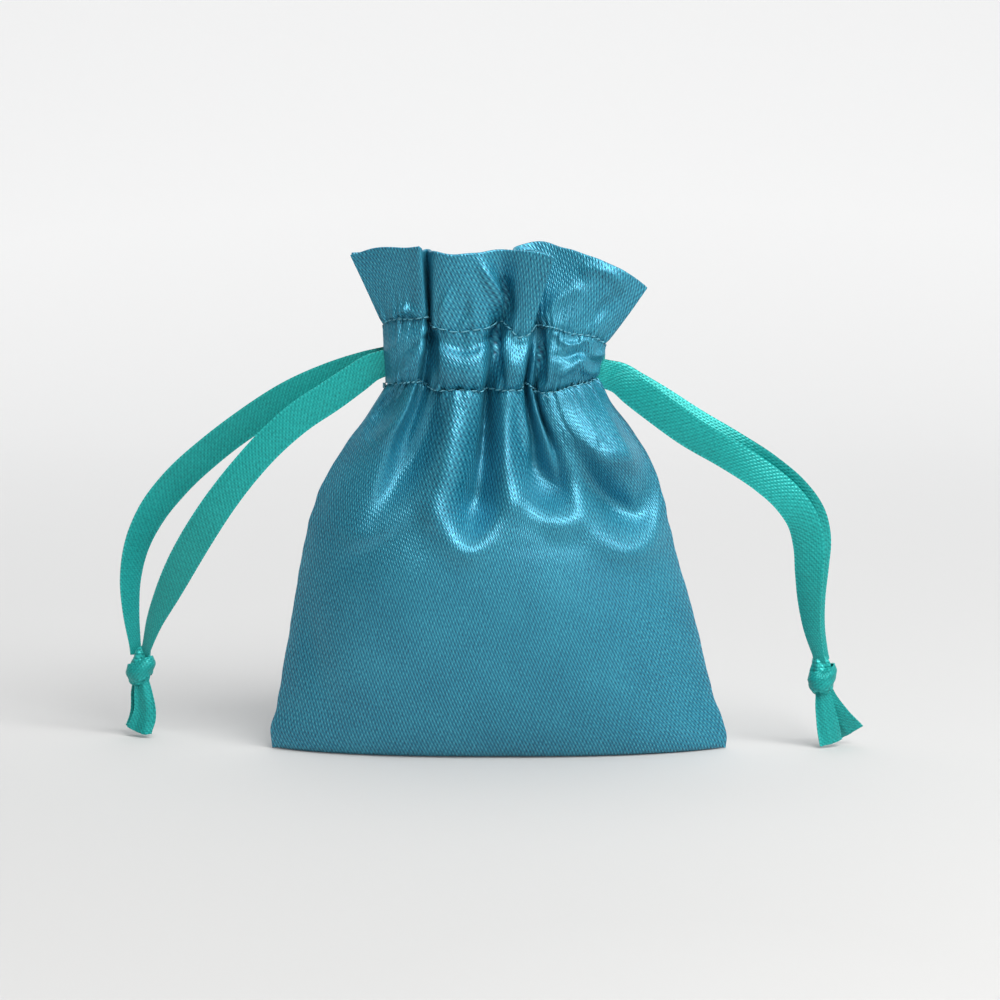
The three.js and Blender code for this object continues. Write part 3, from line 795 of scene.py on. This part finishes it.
def eased(points, passes=5):
    """Averages out what is sharper than the cloth would bend, from the filled part up to the pleats."""
    soft = points.copy()
    for _ in range(passes):
        soft[1:-1] = (soft[:-2] + 2 * soft[1:-1] + soft[2:]) / 4
        soft[:, 1:-1] = (soft[:, :-2] + 2 * soft[:, 1:-1] + soft[:, 2:]) / 4
    height = points[..., 2:]
    share = smooth(26, 36, height) * smooth(70, 58, height)
    return points + (soft - points) * share


def refine(points, rows, columns):
    """The same sheet with more points, smoothly in between."""
    old_rows, old_columns = points.shape[:2]
    flat = points.reshape(old_rows, -1)
    tall = hermite(np.linspace(0, 1, old_rows), flat, np.linspace(0, 1, rows))
    turned = tall.reshape(rows, old_columns, 3).transpose(1, 0, 2).reshape(old_columns, -1)
    wide = hermite(np.linspace(0, 1, old_columns), turned, np.linspace(0, 1, columns))
    return wide.reshape(columns, rows, 3).transpose(1, 0, 2)


def outward_normals(points, side):
    normals = np.cross(np.gradient(points, axis=1), np.gradient(points, axis=0))
    normals /= np.maximum(np.linalg.norm(normals, axis=2, keepdims=True), 1e-9)
    return normals * -side


def puckers(points, side, distance, seed, height=0.26, reach=3.2):
    """Small gathers beside a row of stitches. distance is each point's way to it, in mm."""
    s = np.linspace(-1, 1, points.shape[1]) * CLOTH_HALF_WIDTH
    waves = noise_1d(s, seed, waves=8, low=1.2, high=3.2)
    drawn_in = -0.28 * np.exp(-(distance / 0.8) ** 2)
    lift = height * np.exp(-distance / reach)[:, None] * waves[None, :] + drawn_in[:, None]
    return points + outward_normals(points, side) * lift[..., None]


SEAM_UNEVENNESS = 0.08             # how far the side seams wander


def build_panel(side, word):
    lower = FRONT_ROWS[0] if side < 0 else BACK_ROWS[0]
    strokes = FRONT_STROKES if side < 0 else BACK_STROKES
    foot = body_grid(side, FOOT_ROWS, [], lower)
    points = body_grid(side, SIM_ROWS, strokes, lower, SIM_COLUMNS)
    points = simulate(points, side > 0)
    points = eased(points)
    fine = refine(points, PANEL_ROWS, PANEL_COLUMNS)
    below_stitches = np.linspace(PANEL_LENGTH, 0, PANEL_ROWS)
    fine = puckers(fine, side, below_stitches, 21 + side)
    from_seam = 1 - np.abs(np.linspace(-1, 1, PANEL_COLUMNS))
    uneven = noise_1d(np.linspace(0, 76, PANEL_ROWS), 17, waves=8, low=0.25, high=1.3)
    fine[..., 0] += SEAM_UNEVENNESS * uneven[:, None] * np.exp(-from_seam * 14)[None, :]
    points = np.concatenate([foot, fine])
    climb = np.concatenate([FOOT_ROWS, np.linspace(FOOT_RADIUS, PANEL_LENGTH, PANEL_ROWS)])
    uvs = grid_uvs(np.linspace(-1, 1, PANEL_COLUMNS) * CLOTH_HALF_WIDTH, climb)
    panel = grid_piece(word + "_panel_cloth", points, uvs, SATIN, 0.3, -1, side > 0)
    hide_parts(word + "_panel")
    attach(panel, "pouch")


SHEET_STEPS = 61


def row_grid(rows, shares, side, uv_low, uv_high):
    """A sheet through several listed rows. shares are their heights from 0 to 1."""
    s = np.linspace(-1, 1, PANEL_COLUMNS)
    across = np.stack([hermite(PLACES, row, s) for row in rows])
    v = np.linspace(0, 1, SHEET_STEPS)
    points = hermite(shares, across.reshape(len(rows), -1), v).reshape(SHEET_STEPS, PANEL_COLUMNS, 3)
    points[..., 1] *= -side
    return points, grid_uvs(s * CLOTH_HALF_WIDTH, uv_low + v * (uv_high - uv_low)), v


def middle_row(low, high, share, out):
    low = np.asarray(low, float)
    high = np.asarray(high, float)
    row = low * (1 - share) + high * share
    row[:, 1] *= out
    return row


def relief_on(points, side, strokes, strength=1.0):
    """Adds strokes, drawn in x and z, along the outward normals."""
    relief = fold_relief(points[..., 0], points[..., 2], strokes)
    return points + outward_normals(points, side) * strength * relief[..., None]


def folded_sheet(points, uvs, side, gap):
    """Doubles a sheet: out over its last row and down again on the inside."""
    normals = outward_normals(points, side)
    up = points[-1] - points[-2]
    up /= np.linalg.norm(up, axis=1)[:, None]
    layers = [points]
    for a in np.linspace(0, math.pi, 9)[1:-1]:
        over = points[-1] - normals[-1] * gap / 2 * (1 - math.cos(a)) + up * gap / 2 * math.sin(a)
        layers.append(over[None])
    inner = points - normals * gap
    layers.append(inner[::-1])
    doubled = np.concatenate(layers)
    spacing = np.linalg.norm(np.diff(doubled, axis=0), axis=2).mean(1)
    along = uvs[0, 0, 1] + np.concatenate([[0], np.cumsum(spacing)])
    return doubled, grid_uvs(uvs[0, :, 0], along)


CASING_SHARES = [0, 0.12, 0.35, 0.62, 0.85, 1]        # heights between the two rows of stitches
CASING_SWELL = [1, 1.07, 1.17, 1.13, 1.0, 1]
CASING_LENGTH = 13.4               # flat cloth, in mm
RUFFLE_LENGTH = 16
FACING_LENGTH = 12.4
FACING_UV_FOOT = 130
FACING_MARGIN = 0.02               # the facing ends this share of the channel short of each row
FACING_SHARES = [0, 0.1, 0.3, 0.7, 0.86, 1]
FACING_LEAST = 0.7                 # from the middle of the neck
FACING_INSET = 0.8                 # behind the casing, along the stitches
FACING_DRAWN_IN = 0.2              # between the stitches, as a share of the casing's own depth
# and at most this, inside the ribbons. Beside the stitches, where it turns out to the casing, they cross it.
FACING_DEPTH = 1.8
RUFFLE_STRENGTH = 1.7
HEM_GAP = 0.75


def build_casing(side, word, lower, upper):
    rows = [middle_row(lower, upper, a, b) for a, b in zip(CASING_SHARES, CASING_SWELL)]
    points, uvs, v = row_grid(rows, CASING_SHARES, side, PANEL_LENGTH, PANEL_LENGTH + CASING_LENGTH)
    if side < 0:
        points = relief_on(points, side, CASING_STROKES)
    to_row = np.minimum(v, 1 - v) * CASING_LENGTH
    points = puckers(points, side, to_row, 31 + side, reach=2.4)
    casing = grid_piece(word + "_casing_cloth", points, uvs, SATIN, 0.3, -1, side > 0)
    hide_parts(word + "_casing")
    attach(casing, "pouch")


def build_ruffle(side, word, upper, top):
    rows = [upper, middle_row(upper, top, 0.5, 1.0), top]
    low = PANEL_LENGTH + CASING_LENGTH
    points, uvs, v = row_grid(rows, [0, 0.5, 1], side, low, low + RUFFLE_LENGTH)
    if side < 0:
        points = relief_on(points, side, RUFFLE_STROKES, RUFFLE_STRENGTH)
    points = puckers(points, side, v * RUFFLE_LENGTH, 41 + side, reach=3.6)
    hem_wave = noise_1d(uvs[0, :, 0], 51 + side, waves=7, low=0.3, high=1.0)
    points[..., 2] += 0.16 * hem_wave[None, :] * smooth(0.6, 1, v)[:, None]
    points, uvs = folded_sheet(points, uvs, side, HEM_GAP)
    ruffle = grid_piece(word + "_ruffle_cloth", points, uvs, SATIN, 0.24, -1, side > 0)
    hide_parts(word + "_ruffle")
    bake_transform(ruffle)


def build_facing(side, word, lower, upper):
    """The inner wall of the channel: sewn to the casing along both rows, and drawn in between them."""
    rows = []
    for share in FACING_SHARES:
        row = middle_row(lower, upper, FACING_MARGIN + (1 - 2 * FACING_MARGIN) * share, 1)
        out = np.abs(row[:, 1])
        if share in (0, 1):
            row[:, 1] = -np.maximum(out - FACING_INSET, FACING_LEAST)
        else:
            row[:, 1] = -np.clip(FACING_DRAWN_IN * out, FACING_LEAST, FACING_DEPTH)
        rows.append(row)
    points, uvs, _ = row_grid(
        rows, FACING_SHARES, side, FACING_UV_FOOT, FACING_UV_FOOT + FACING_LENGTH
    )
    facing = grid_piece(word + "_facing_cloth", points, uvs, LINING, 0.25, 0)
    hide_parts(word + "_facing")
    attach(facing, "pouch")


# ---------------------------------------------------------------- thread


def tube(path, radii, sides=6):
    """Vertices and faces of a closed thread through path, in mm."""
    path = np.asarray(path, float)
    tangent = np.gradient(path, axis=0)
    tangent /= np.maximum(np.linalg.norm(tangent, axis=1), 1e-9)[:, None]
    across = np.cross(tangent, [0.13, 0.31, 0.94])
    across /= np.linalg.norm(across, axis=1)[:, None]
    other = np.cross(tangent, across)
    theta = np.linspace(0, 2 * math.pi, sides, endpoint=False)
    round_it = (
        across[:, None, :] * np.cos(theta)[None, :, None]
        + other[:, None, :] * np.sin(theta)[None, :, None]
    )
    rings = path[:, None, :] + np.asarray(radii)[:, None, None] * round_it
    faces = []
    for j in range(len(path) - 1):
        for i in range(sides):
            k = (i + 1) % sides
            faces.append((j * sides + i, (j + 1) * sides + i, (j + 1) * sides + k, j * sides + k))
    faces.append(tuple(range(sides)))
    faces.append(tuple(range((len(path) - 1) * sides, len(path) * sides))[::-1])
    uvs = [(a * 0.4, z) for z in arc_lengths(path) for a in theta]
    return rings.reshape(-1, 3), faces, uvs


def thread_piece(name, paths):
    """One piece of many short threads. Each entry is a path in mm and its radii."""
    vertices, faces, uvs = [], [], []
    for path, radii in paths:
        v, f, t = tube(path, radii)
        base = len(vertices)
        vertices.extend(v * MM)
        faces.extend(tuple(i + base for i in face) for face in f)
        uvs.extend(t)
    piece = new_mesh(name, vertices, faces, uvs)
    piece.data.materials.append(THREAD)
    return piece


STITCH_COUNT = 46
THREAD_RADIUS = 0.15
# Along one stitch: its thickness, and its height above the cloth, into which both ends dive.
BEAD = np.array([0.25, 0.75, 1, 0.95, 1, 0.75, 0.25])
DIVE = np.array([-0.25, 0.02, 0.12, 0.14, 0.12, 0.02, -0.25])


def stitch_row(name, row, side, seed):
    rng = np.random.default_rng(seed)
    ends = np.linspace(-0.975, 0.975, STITCH_COUNT + 1)
    paths = []
    for a, b in zip(ends[:-1], ends[1:]):
        gap = 0.1 * (b - a)
        s = np.linspace(a + gap, b - gap, 7)
        path = hermite(PLACES, row, s)
        path[:, 1] *= -side
        along = np.gradient(path, axis=0)
        out = np.cross(along, [0, 0, 1]) * (-side)
        out[:, 2] = 0
        out /= np.maximum(np.linalg.norm(out, axis=1), 1e-9)[:, None]
        path += out * (DIVE + 0.02)[:, None]
        path[:, 2] += np.linspace(-1, 1, 7) * rng.uniform(0.02, 0.16) + rng.uniform(-0.08, 0.08)
        paths.append((path, THREAD_RADIUS * BEAD))
    return thread_piece(name, paths)


def outline_at(z, column):
    outline = np.asarray(BODY_OUTLINE, float)
    return hermite(outline[:, 0], outline[:, column], z)


SEAM_STITCHES = np.arange(6.5, 69, 2.1)
SEAM_STITCH_LENGTH = 1.7
SEAM_STITCH_INSET = 2.2            # from the pouch's outline
ALLOWANCE_INSET = 2.9
ALLOWANCE_WIDTH = 4.4


def side_stitches(name, column, inward):
    paths = []
    for z in SEAM_STITCHES:
        heights = np.linspace(z, z + SEAM_STITCH_LENGTH, 7)
        x = outline_at(heights, column) + inward * SEAM_STITCH_INSET
        path = np.stack([x, 0.38 * np.ones(7) + DIVE * 0.4, heights], axis=1)
        paths.append((path, THREAD_RADIUS * BEAD))
    return thread_piece(name, paths)


def seam_allowance(name, column, inward, seed):
    """Both cut edges of a side seam, pressed together, with a slightly frayed border."""
    heights = np.linspace(5, 70, 90)
    edge = outline_at(heights, column)
    w = np.linspace(0, 1, 9)
    fray = 0.25 * noise_1d(heights, seed, waves=8, low=1.0, high=5.0)
    width = ALLOWANCE_WIDTH + fray
    points = np.zeros((len(heights), len(w), 3))
    points[..., 0] = edge[:, None] + inward * (ALLOWANCE_INSET + w[None, :] * width[:, None])
    points[..., 1] = 0.3 * np.sin(heights * 0.22)[:, None] * w[None, :] ** 2
    points[..., 2] = heights[:, None]
    return grid_piece(name, points, grid_uvs(w * ALLOWANCE_WIDTH, heights), LINING, 0.55)


def slit_tack(name, corner, outward):
    """Three turns of thread over the end of the side slit."""
    reach = 1.5
    paths = []
    for turn in range(3):
        y = np.linspace(-reach, reach, 11)
        bow = np.cos(y / reach * math.pi / 2)
        x = corner[0] + outward * (0.15 + 0.5 * bow)
        z = corner[1] - 0.75 + turn * 0.36 + 0.08 * np.sin(y * 3 + turn)
        paths.append((np.stack([x, y, z], axis=1), np.full(11, THREAD_RADIUS * 0.9)))
    return thread_piece(name, paths)


WHIPPED_TICKS = 8


def loose_thread():
    """A forgotten end of thread under the casing, and the whipped edge of its last pleat."""
    a = np.linspace(0, 1, 16)
    z = 75.4 + 1.2 * a + 0.5 * np.sin(a * 7)
    curl = np.stack([8.9 + 2.1 * a, -10.8 - 0.5 * np.sin(a * 3), z], axis=1)
    paths = [(curl, np.full(16, 0.09))]
    pleat = np.asarray(LOWER_ROW[20:])
    for number in range(WHIPPED_TICKS):
        x = 12.8 + number * 0.66
        t = np.linspace(-0.6, 0.6, 7)
        y = np.interp(x, pleat[:, 0], pleat[:, 1])
        z = 78.6 + t + 0.14 * math.sin(number)
        tick = np.stack([x + t * 0.25, y + 0 * t - 0.1 - DIVE, z], axis=1)
        paths.append((tick, THREAD_RADIUS * 0.85 * BEAD))
    return paths


# ---------------------------------------------------------------- ribbons inside the channel


NECK_MIDDLE = -1.3
LOOP_TURN = -0.93                  # share of its reach at which the loop turns back


def loop_strip(name, side_sign, reach, offset, heights):
    """A ribbon that runs once around the channel, with its two ends at its own side."""
    count = 60
    front = np.linspace(1, LOOP_TURN, count)
    turn = np.radians(np.linspace(-90, 90, 17))[1:-1]
    x = np.concatenate([front * reach, LOOP_TURN * reach - offset * np.cos(turn), front[::-1] * reach])
    y = np.concatenate([np.full(count, -offset), offset * np.sin(turn), np.full(count, offset)])
    share = np.concatenate([np.linspace(0, 1, count), np.ones(len(turn)), np.linspace(1, 0, count)])
    z = heights[0] + (heights[1] - heights[0]) * share + 0.25 * np.sin(share * 9 + offset)
    path = np.stack([NECK_MIDDLE + side_sign * x, y, z], axis=1)
    tangent = np.gradient(path, axis=0)
    faces = np.stack([tangent[:, 1], -tangent[:, 0], np.zeros(len(path))], axis=1) * side_sign
    widths = np.full(len(path), 5.9) - 0.4 * np.sin(share * 12) ** 2
    piece = band(name, path, faces, widths, 0.22, 0.0, 0.05, 5)
    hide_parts(name.replace("_strip", ""))
    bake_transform(piece)


BOTTOM_HALF_WIDTH = 46.5
BOTTOM_HALF_DEPTH = 9.4


def bottom_sheet():
    """The flattened fold of the body cloth that lies on the floor."""
    u = np.linspace(-1, 1, 121)
    v = np.linspace(-1, 1, 25)
    half_depth = BOTTOM_HALF_DEPTH * np.clip(1 - np.abs(u) ** 2.6, 0, 1) ** 0.85
    points = np.zeros((len(v), len(u), 3))
    points[..., 0] = BOTTOM_HALF_WIDTH * u[None, :]
    points[..., 1] = half_depth[None, :] * v[:, None]
    sag = 0.35 + 0.25 * np.cos(points[..., 0] * 0.3) * np.cos(points[..., 1] * 0.5)
    points[..., 2] = 0.2 + sag * (1 - v[:, None] ** 2)
    uvs = points[..., :2] - (0, 20)
    piece = grid_piece("bottom_cloth", points, uvs, SATIN, 0.3, 0, True)
    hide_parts("bottom_panel")
    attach(piece, "pouch")


BACK_VALLEYS = [-1, -0.66, -0.24, 0.1, 0.5, 0.78, 1]


def back_row(front_row, pleat_depth, crest, drop):
    """The back's row: the front's ends, with pleats of its own between them."""
    front_row = np.asarray(front_row, float)
    s = np.linspace(-1, 1, len(front_row))
    row = np.zeros_like(front_row)
    left, right = front_row[0], front_row[-1]
    row[:, 0] = (left[0] + right[0]) / 2 + (right[0] - left[0]) / 2 * s
    order = np.argsort(front_row[:, 0])
    height = np.interp(row[:, 0], front_row[order, 0], front_row[order, 2])
    fade = np.clip(1 - np.abs(s) ** 4, 0, 1)
    row[:, 2] = height - drop * fade
    valleys = np.asarray(BACK_VALLEYS)
    k = np.clip(np.searchsorted(valleys, s, side="right") - 1, 0, len(valleys) - 2)
    within = (s - valleys[k]) / (valleys[k + 1] - valleys[k])
    pleat = np.sin(math.pi * np.clip(within, 0, 1)) ** 0.7
    ends = abs(left[1]) * (1 - (s + 1) / 2) + abs(right[1]) * (s + 1) / 2
    row[:, 1] = -(ends + crest * np.cos(math.pi * s / 2) + pleat_depth * (pleat - 0.4) * fade)
    return row


CASING_STROKES = [
    # gaps between the pleats
    [(-13.4, 90.5, -1.0, 0.9), (-13.7, 84, -1.7, 1.0), (-13.2, 78.5, -1.0, 0.9)],
    [(-0.8, 90.5, -0.9, 0.8), (-0.3, 84, -1.5, 0.9), (0.3, 78.5, -0.9, 0.8)],
    [(8.3, 90, -0.9, 0.8), (8.6, 84, -1.5, 0.9), (8.9, 79, -0.9, 0.8)],
    # slanting folds of the left pleat
    [(-14.1, 89.9, 0.3, 0.9), (-18.5, 87.6, 0.7, 1.1), (-23, 84.9, 0.3, 1.0)],
    [(-15.4, 86.4, 0.3, 0.9), (-18.4, 82.5, 0.7, 1.1), (-21.6, 78.6, 0.3, 1.0)],
    [(-16, 88, -0.2, 0.8), (-20, 84.6, -0.6, 1.0), (-22.8, 81.4, -0.2, 0.9)],
    # the wide pleat is drawn in under its stitches
    [(-12.8, 87.4, -0.4, 1.2), (-7.5, 85.8, -0.9, 1.5), (-1.4, 87.6, -0.5, 1.2)],
    [(-11.5, 80.5, 0.3, 2.4), (-7.5, 79.8, 0.6, 2.8), (-3.8, 80.5, 0.3, 2.2)],
    [(1.4, 86.4, 0.5, 1.5), (2.6, 82.4, 0.6, 1.8)],
    # crinkles of the right pleat
    [(12.2, 88.2, 0.3, 0.7), (14.3, 86.2, 0.9, 0.8), (16, 86.4, 0.8, 0.8), (18, 87.4, 0.7, 0.7),
     (19.6, 84, 0.9, 0.8),
     (21.4, 84.1, 0.4, 0.7)],
    [(12.8, 80.6, 0.4, 0.8), (15, 82, 0.8, 0.8), (16.6, 83.2, 0.9, 0.8), (17.6, 81.2, 0.8, 0.8),
     (20.2, 80.2, 0.5, 0.8)],
    [(11.6, 84.2, -0.3, 0.9), (14.6, 84.2, -0.8, 1.0), (17.6, 84.8, -0.9, 1.1), (20.4, 82.2, -0.6, 0.9)],
]
RUFFLE_STROKES = [
    [(-3.9, 103.4, 0.3, 1.2), (-2.4, 100.4, 1.0, 1.2), (-0.4, 94.6, 1.2, 1.2), (0.2, 91.4, 0.5, 1.0)],
    [(1.3, 99, -0.4, 1.2), (1.4, 95, -1.0, 1.3), (1.2, 91.6, -0.6, 1.0)],
    [(-21.5, 92.2, 0.4, 0.8), (-19, 93.6, 0.7, 0.9), (-17.4, 92.8, 0.3, 0.8)],
    [(-12.4, 92.2, 0.3, 0.9), (-11.2, 94.6, 0.5, 1.0), (-10.4, 97.4, 0.2, 1.0)],
    [(-8.6, 90.8, -0.3, 0.9), (-7.4, 93.2, -0.5, 1.0), (-6.8, 95.8, -0.2, 1.0)],
    [(9.8, 92.4, 0.3, 1.1), (12.2, 95.6, 0.6, 1.3), (15.4, 97.8, 0.4, 1.5)],
    [(19.4, 91, -0.3, 1.2), (21.4, 93.4, -0.7, 1.5), (24.2, 95.8, -0.4, 1.6)],
    [(25, 99.6, 0.3, 1.4), (22.2, 101.4, 0.6, 1.4), (18.4, 102, 0.3, 1.4)],
]
FRONT_ROWS = [LOWER_ROW, UPPER_ROW, TOP_ROW]
BACK_ROWS = [
    back_row(LOWER_ROW, 5.7, 5.2, 0),
    back_row(UPPER_ROW, 6.1, 4.8, 0.4),
    back_row(TOP_ROW, 5.0, 7.2, 1.9),
]

for side, word, rows in ((-1, "front", FRONT_ROWS), (1, "back", BACK_ROWS)):
    lower, upper, top = rows
    build_panel(side, word)
    build_casing(side, word, lower, upper)
    build_ruffle(side, word, upper, top)
    build_facing(side, word, lower, upper)
    for level, row, seed in (("upper", upper, 71), ("lower", lower, 81)):
        stitches = stitch_row(f"{word}_{level}_thread", row, side, seed + side)
        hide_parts(f"{word}_{level}_stitches")
        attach(stitches, "pouch")

for word, column, inward, seed in (("left", 1, 1, 4), ("right", 2, -1, 6)):
    thread = side_stitches(word + "_side_thread", column, inward)
    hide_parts(word + "_side_stitches")
    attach(thread, "pouch")
    allowance = seam_allowance(word + "_seam_cloth", column, inward, seed)
    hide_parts(word + "_seam_allowance")
    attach(allowance, "pouch")
    row_end = LOWER_ROW[0] if word == "left" else LOWER_ROW[-1]
    tack = slit_tack(word + "_tack_thread", (row_end[0], row_end[2]), -inward)
    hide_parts(word + "_slit_tack")
    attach(tack, "pouch")

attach(thread_piece("loose_thread", loose_thread()), "pouch")
loop_strip("left_ribbon_loop_strip", -1, 22.6, 2.35, (82.0, 84.4))
loop_strip("right_ribbon_loop_strip", 1, 21.8, 2.1, (79.6, 81.4))
bottom_sheet()

# ---------------------------------------------------------------- floor and light


FLOOR_REACH = 12.0
FLOOR_BACK = 0.6                   # the floor starts to bend up this far behind the pouch
BEND = 0.6
WALL_HEIGHT = 3.0
GLOW_CENTRE = (0.03, -0.2, 0)
GLOW_START = 0.05
GLOW_FULL = 1.1
GLOW = 0.58


def add_floor():
    sweep = np.linspace(0, math.pi / 2, 24)
    curve = [(-FLOOR_REACH, 0)]
    curve += [(FLOOR_BACK + BEND * math.sin(a), BEND - BEND * math.cos(a)) for a in sweep]
    curve.append((FLOOR_BACK + BEND, WALL_HEIGHT))
    vertices = [(x, y, z) for y, z in curve for x in (-FLOOR_REACH, FLOOR_REACH)]
    floor = new_mesh("floor", vertices, grid_faces(len(curve), 2))
    material, tree, shader = node_material("floor")
    shader.inputs["Base Color"].default_value = (0.46, 0.46, 0.46, 1)
    shader.inputs["Roughness"].default_value = 0.75
    shader.inputs["Specular IOR Level"].default_value = 0.2
    # the sweep is lit from within far from the pouch, so that it stays pale in every direction
    place = add(tree, "ShaderNodeNewGeometry")
    distance = add(tree, "ShaderNodeVectorMath", operation="DISTANCE")
    distance.inputs[1].default_value = GLOW_CENTRE
    tree.links.new(place.outputs["Position"], distance.inputs[0])
    glow = add(tree, "ShaderNodeMapRange")
    glow.inputs["From Min"].default_value = GLOW_START
    glow.inputs["From Max"].default_value = GLOW_FULL
    glow.inputs["To Max"].default_value = GLOW
    tree.links.new(distance.outputs["Value"], glow.inputs["Value"])
    shader.inputs["Emission Color"].default_value = (1, 1, 1, 1)
    tree.links.new(glow.outputs[0], shader.inputs["Emission Strength"])
    floor.data.materials.append(material)


def add_light(name, place, aim, size, power, colour=(1, 1, 1)):
    data = bpy.data.lights.new(name, "AREA")
    data.shape = "RECTANGLE"
    data.size, data.size_y = size
    data.energy = power
    data.color = colour
    light = bpy.data.objects.new(name, data)
    light.location = place
    light.rotation_euler = (Vector(aim) - Vector(place)).to_track_quat("-Z", "Y").to_euler()
    bpy.context.scene.collection.objects.link(light)


def add_world():
    bpy.context.scene.view_settings.view_transform = "Standard"
    world = bpy.data.worlds.new("world")
    world.use_nodes = True
    background = world.node_tree.nodes["Background"]
    background.inputs[0].default_value = (0.88, 0.94, 1, 1)
    background.inputs[1].default_value = 0.15
    bpy.context.scene.world = world


add_floor()
add_world()
add_light("key_softbox", (0.24, -0.42, 0.62), (0, 0, 0.05), (0.5, 0.45), 7.6, (1, 0.99, 0.97))
add_light("right_softbox", (0.62, -0.42, 0.42), (0, 0, 0.06), (0.3, 0.4), 1.6)
add_light("top_softbox", (-0.05, 0.18, 0.85), (0, 0.02, 0), (0.7, 0.7), 2.2)
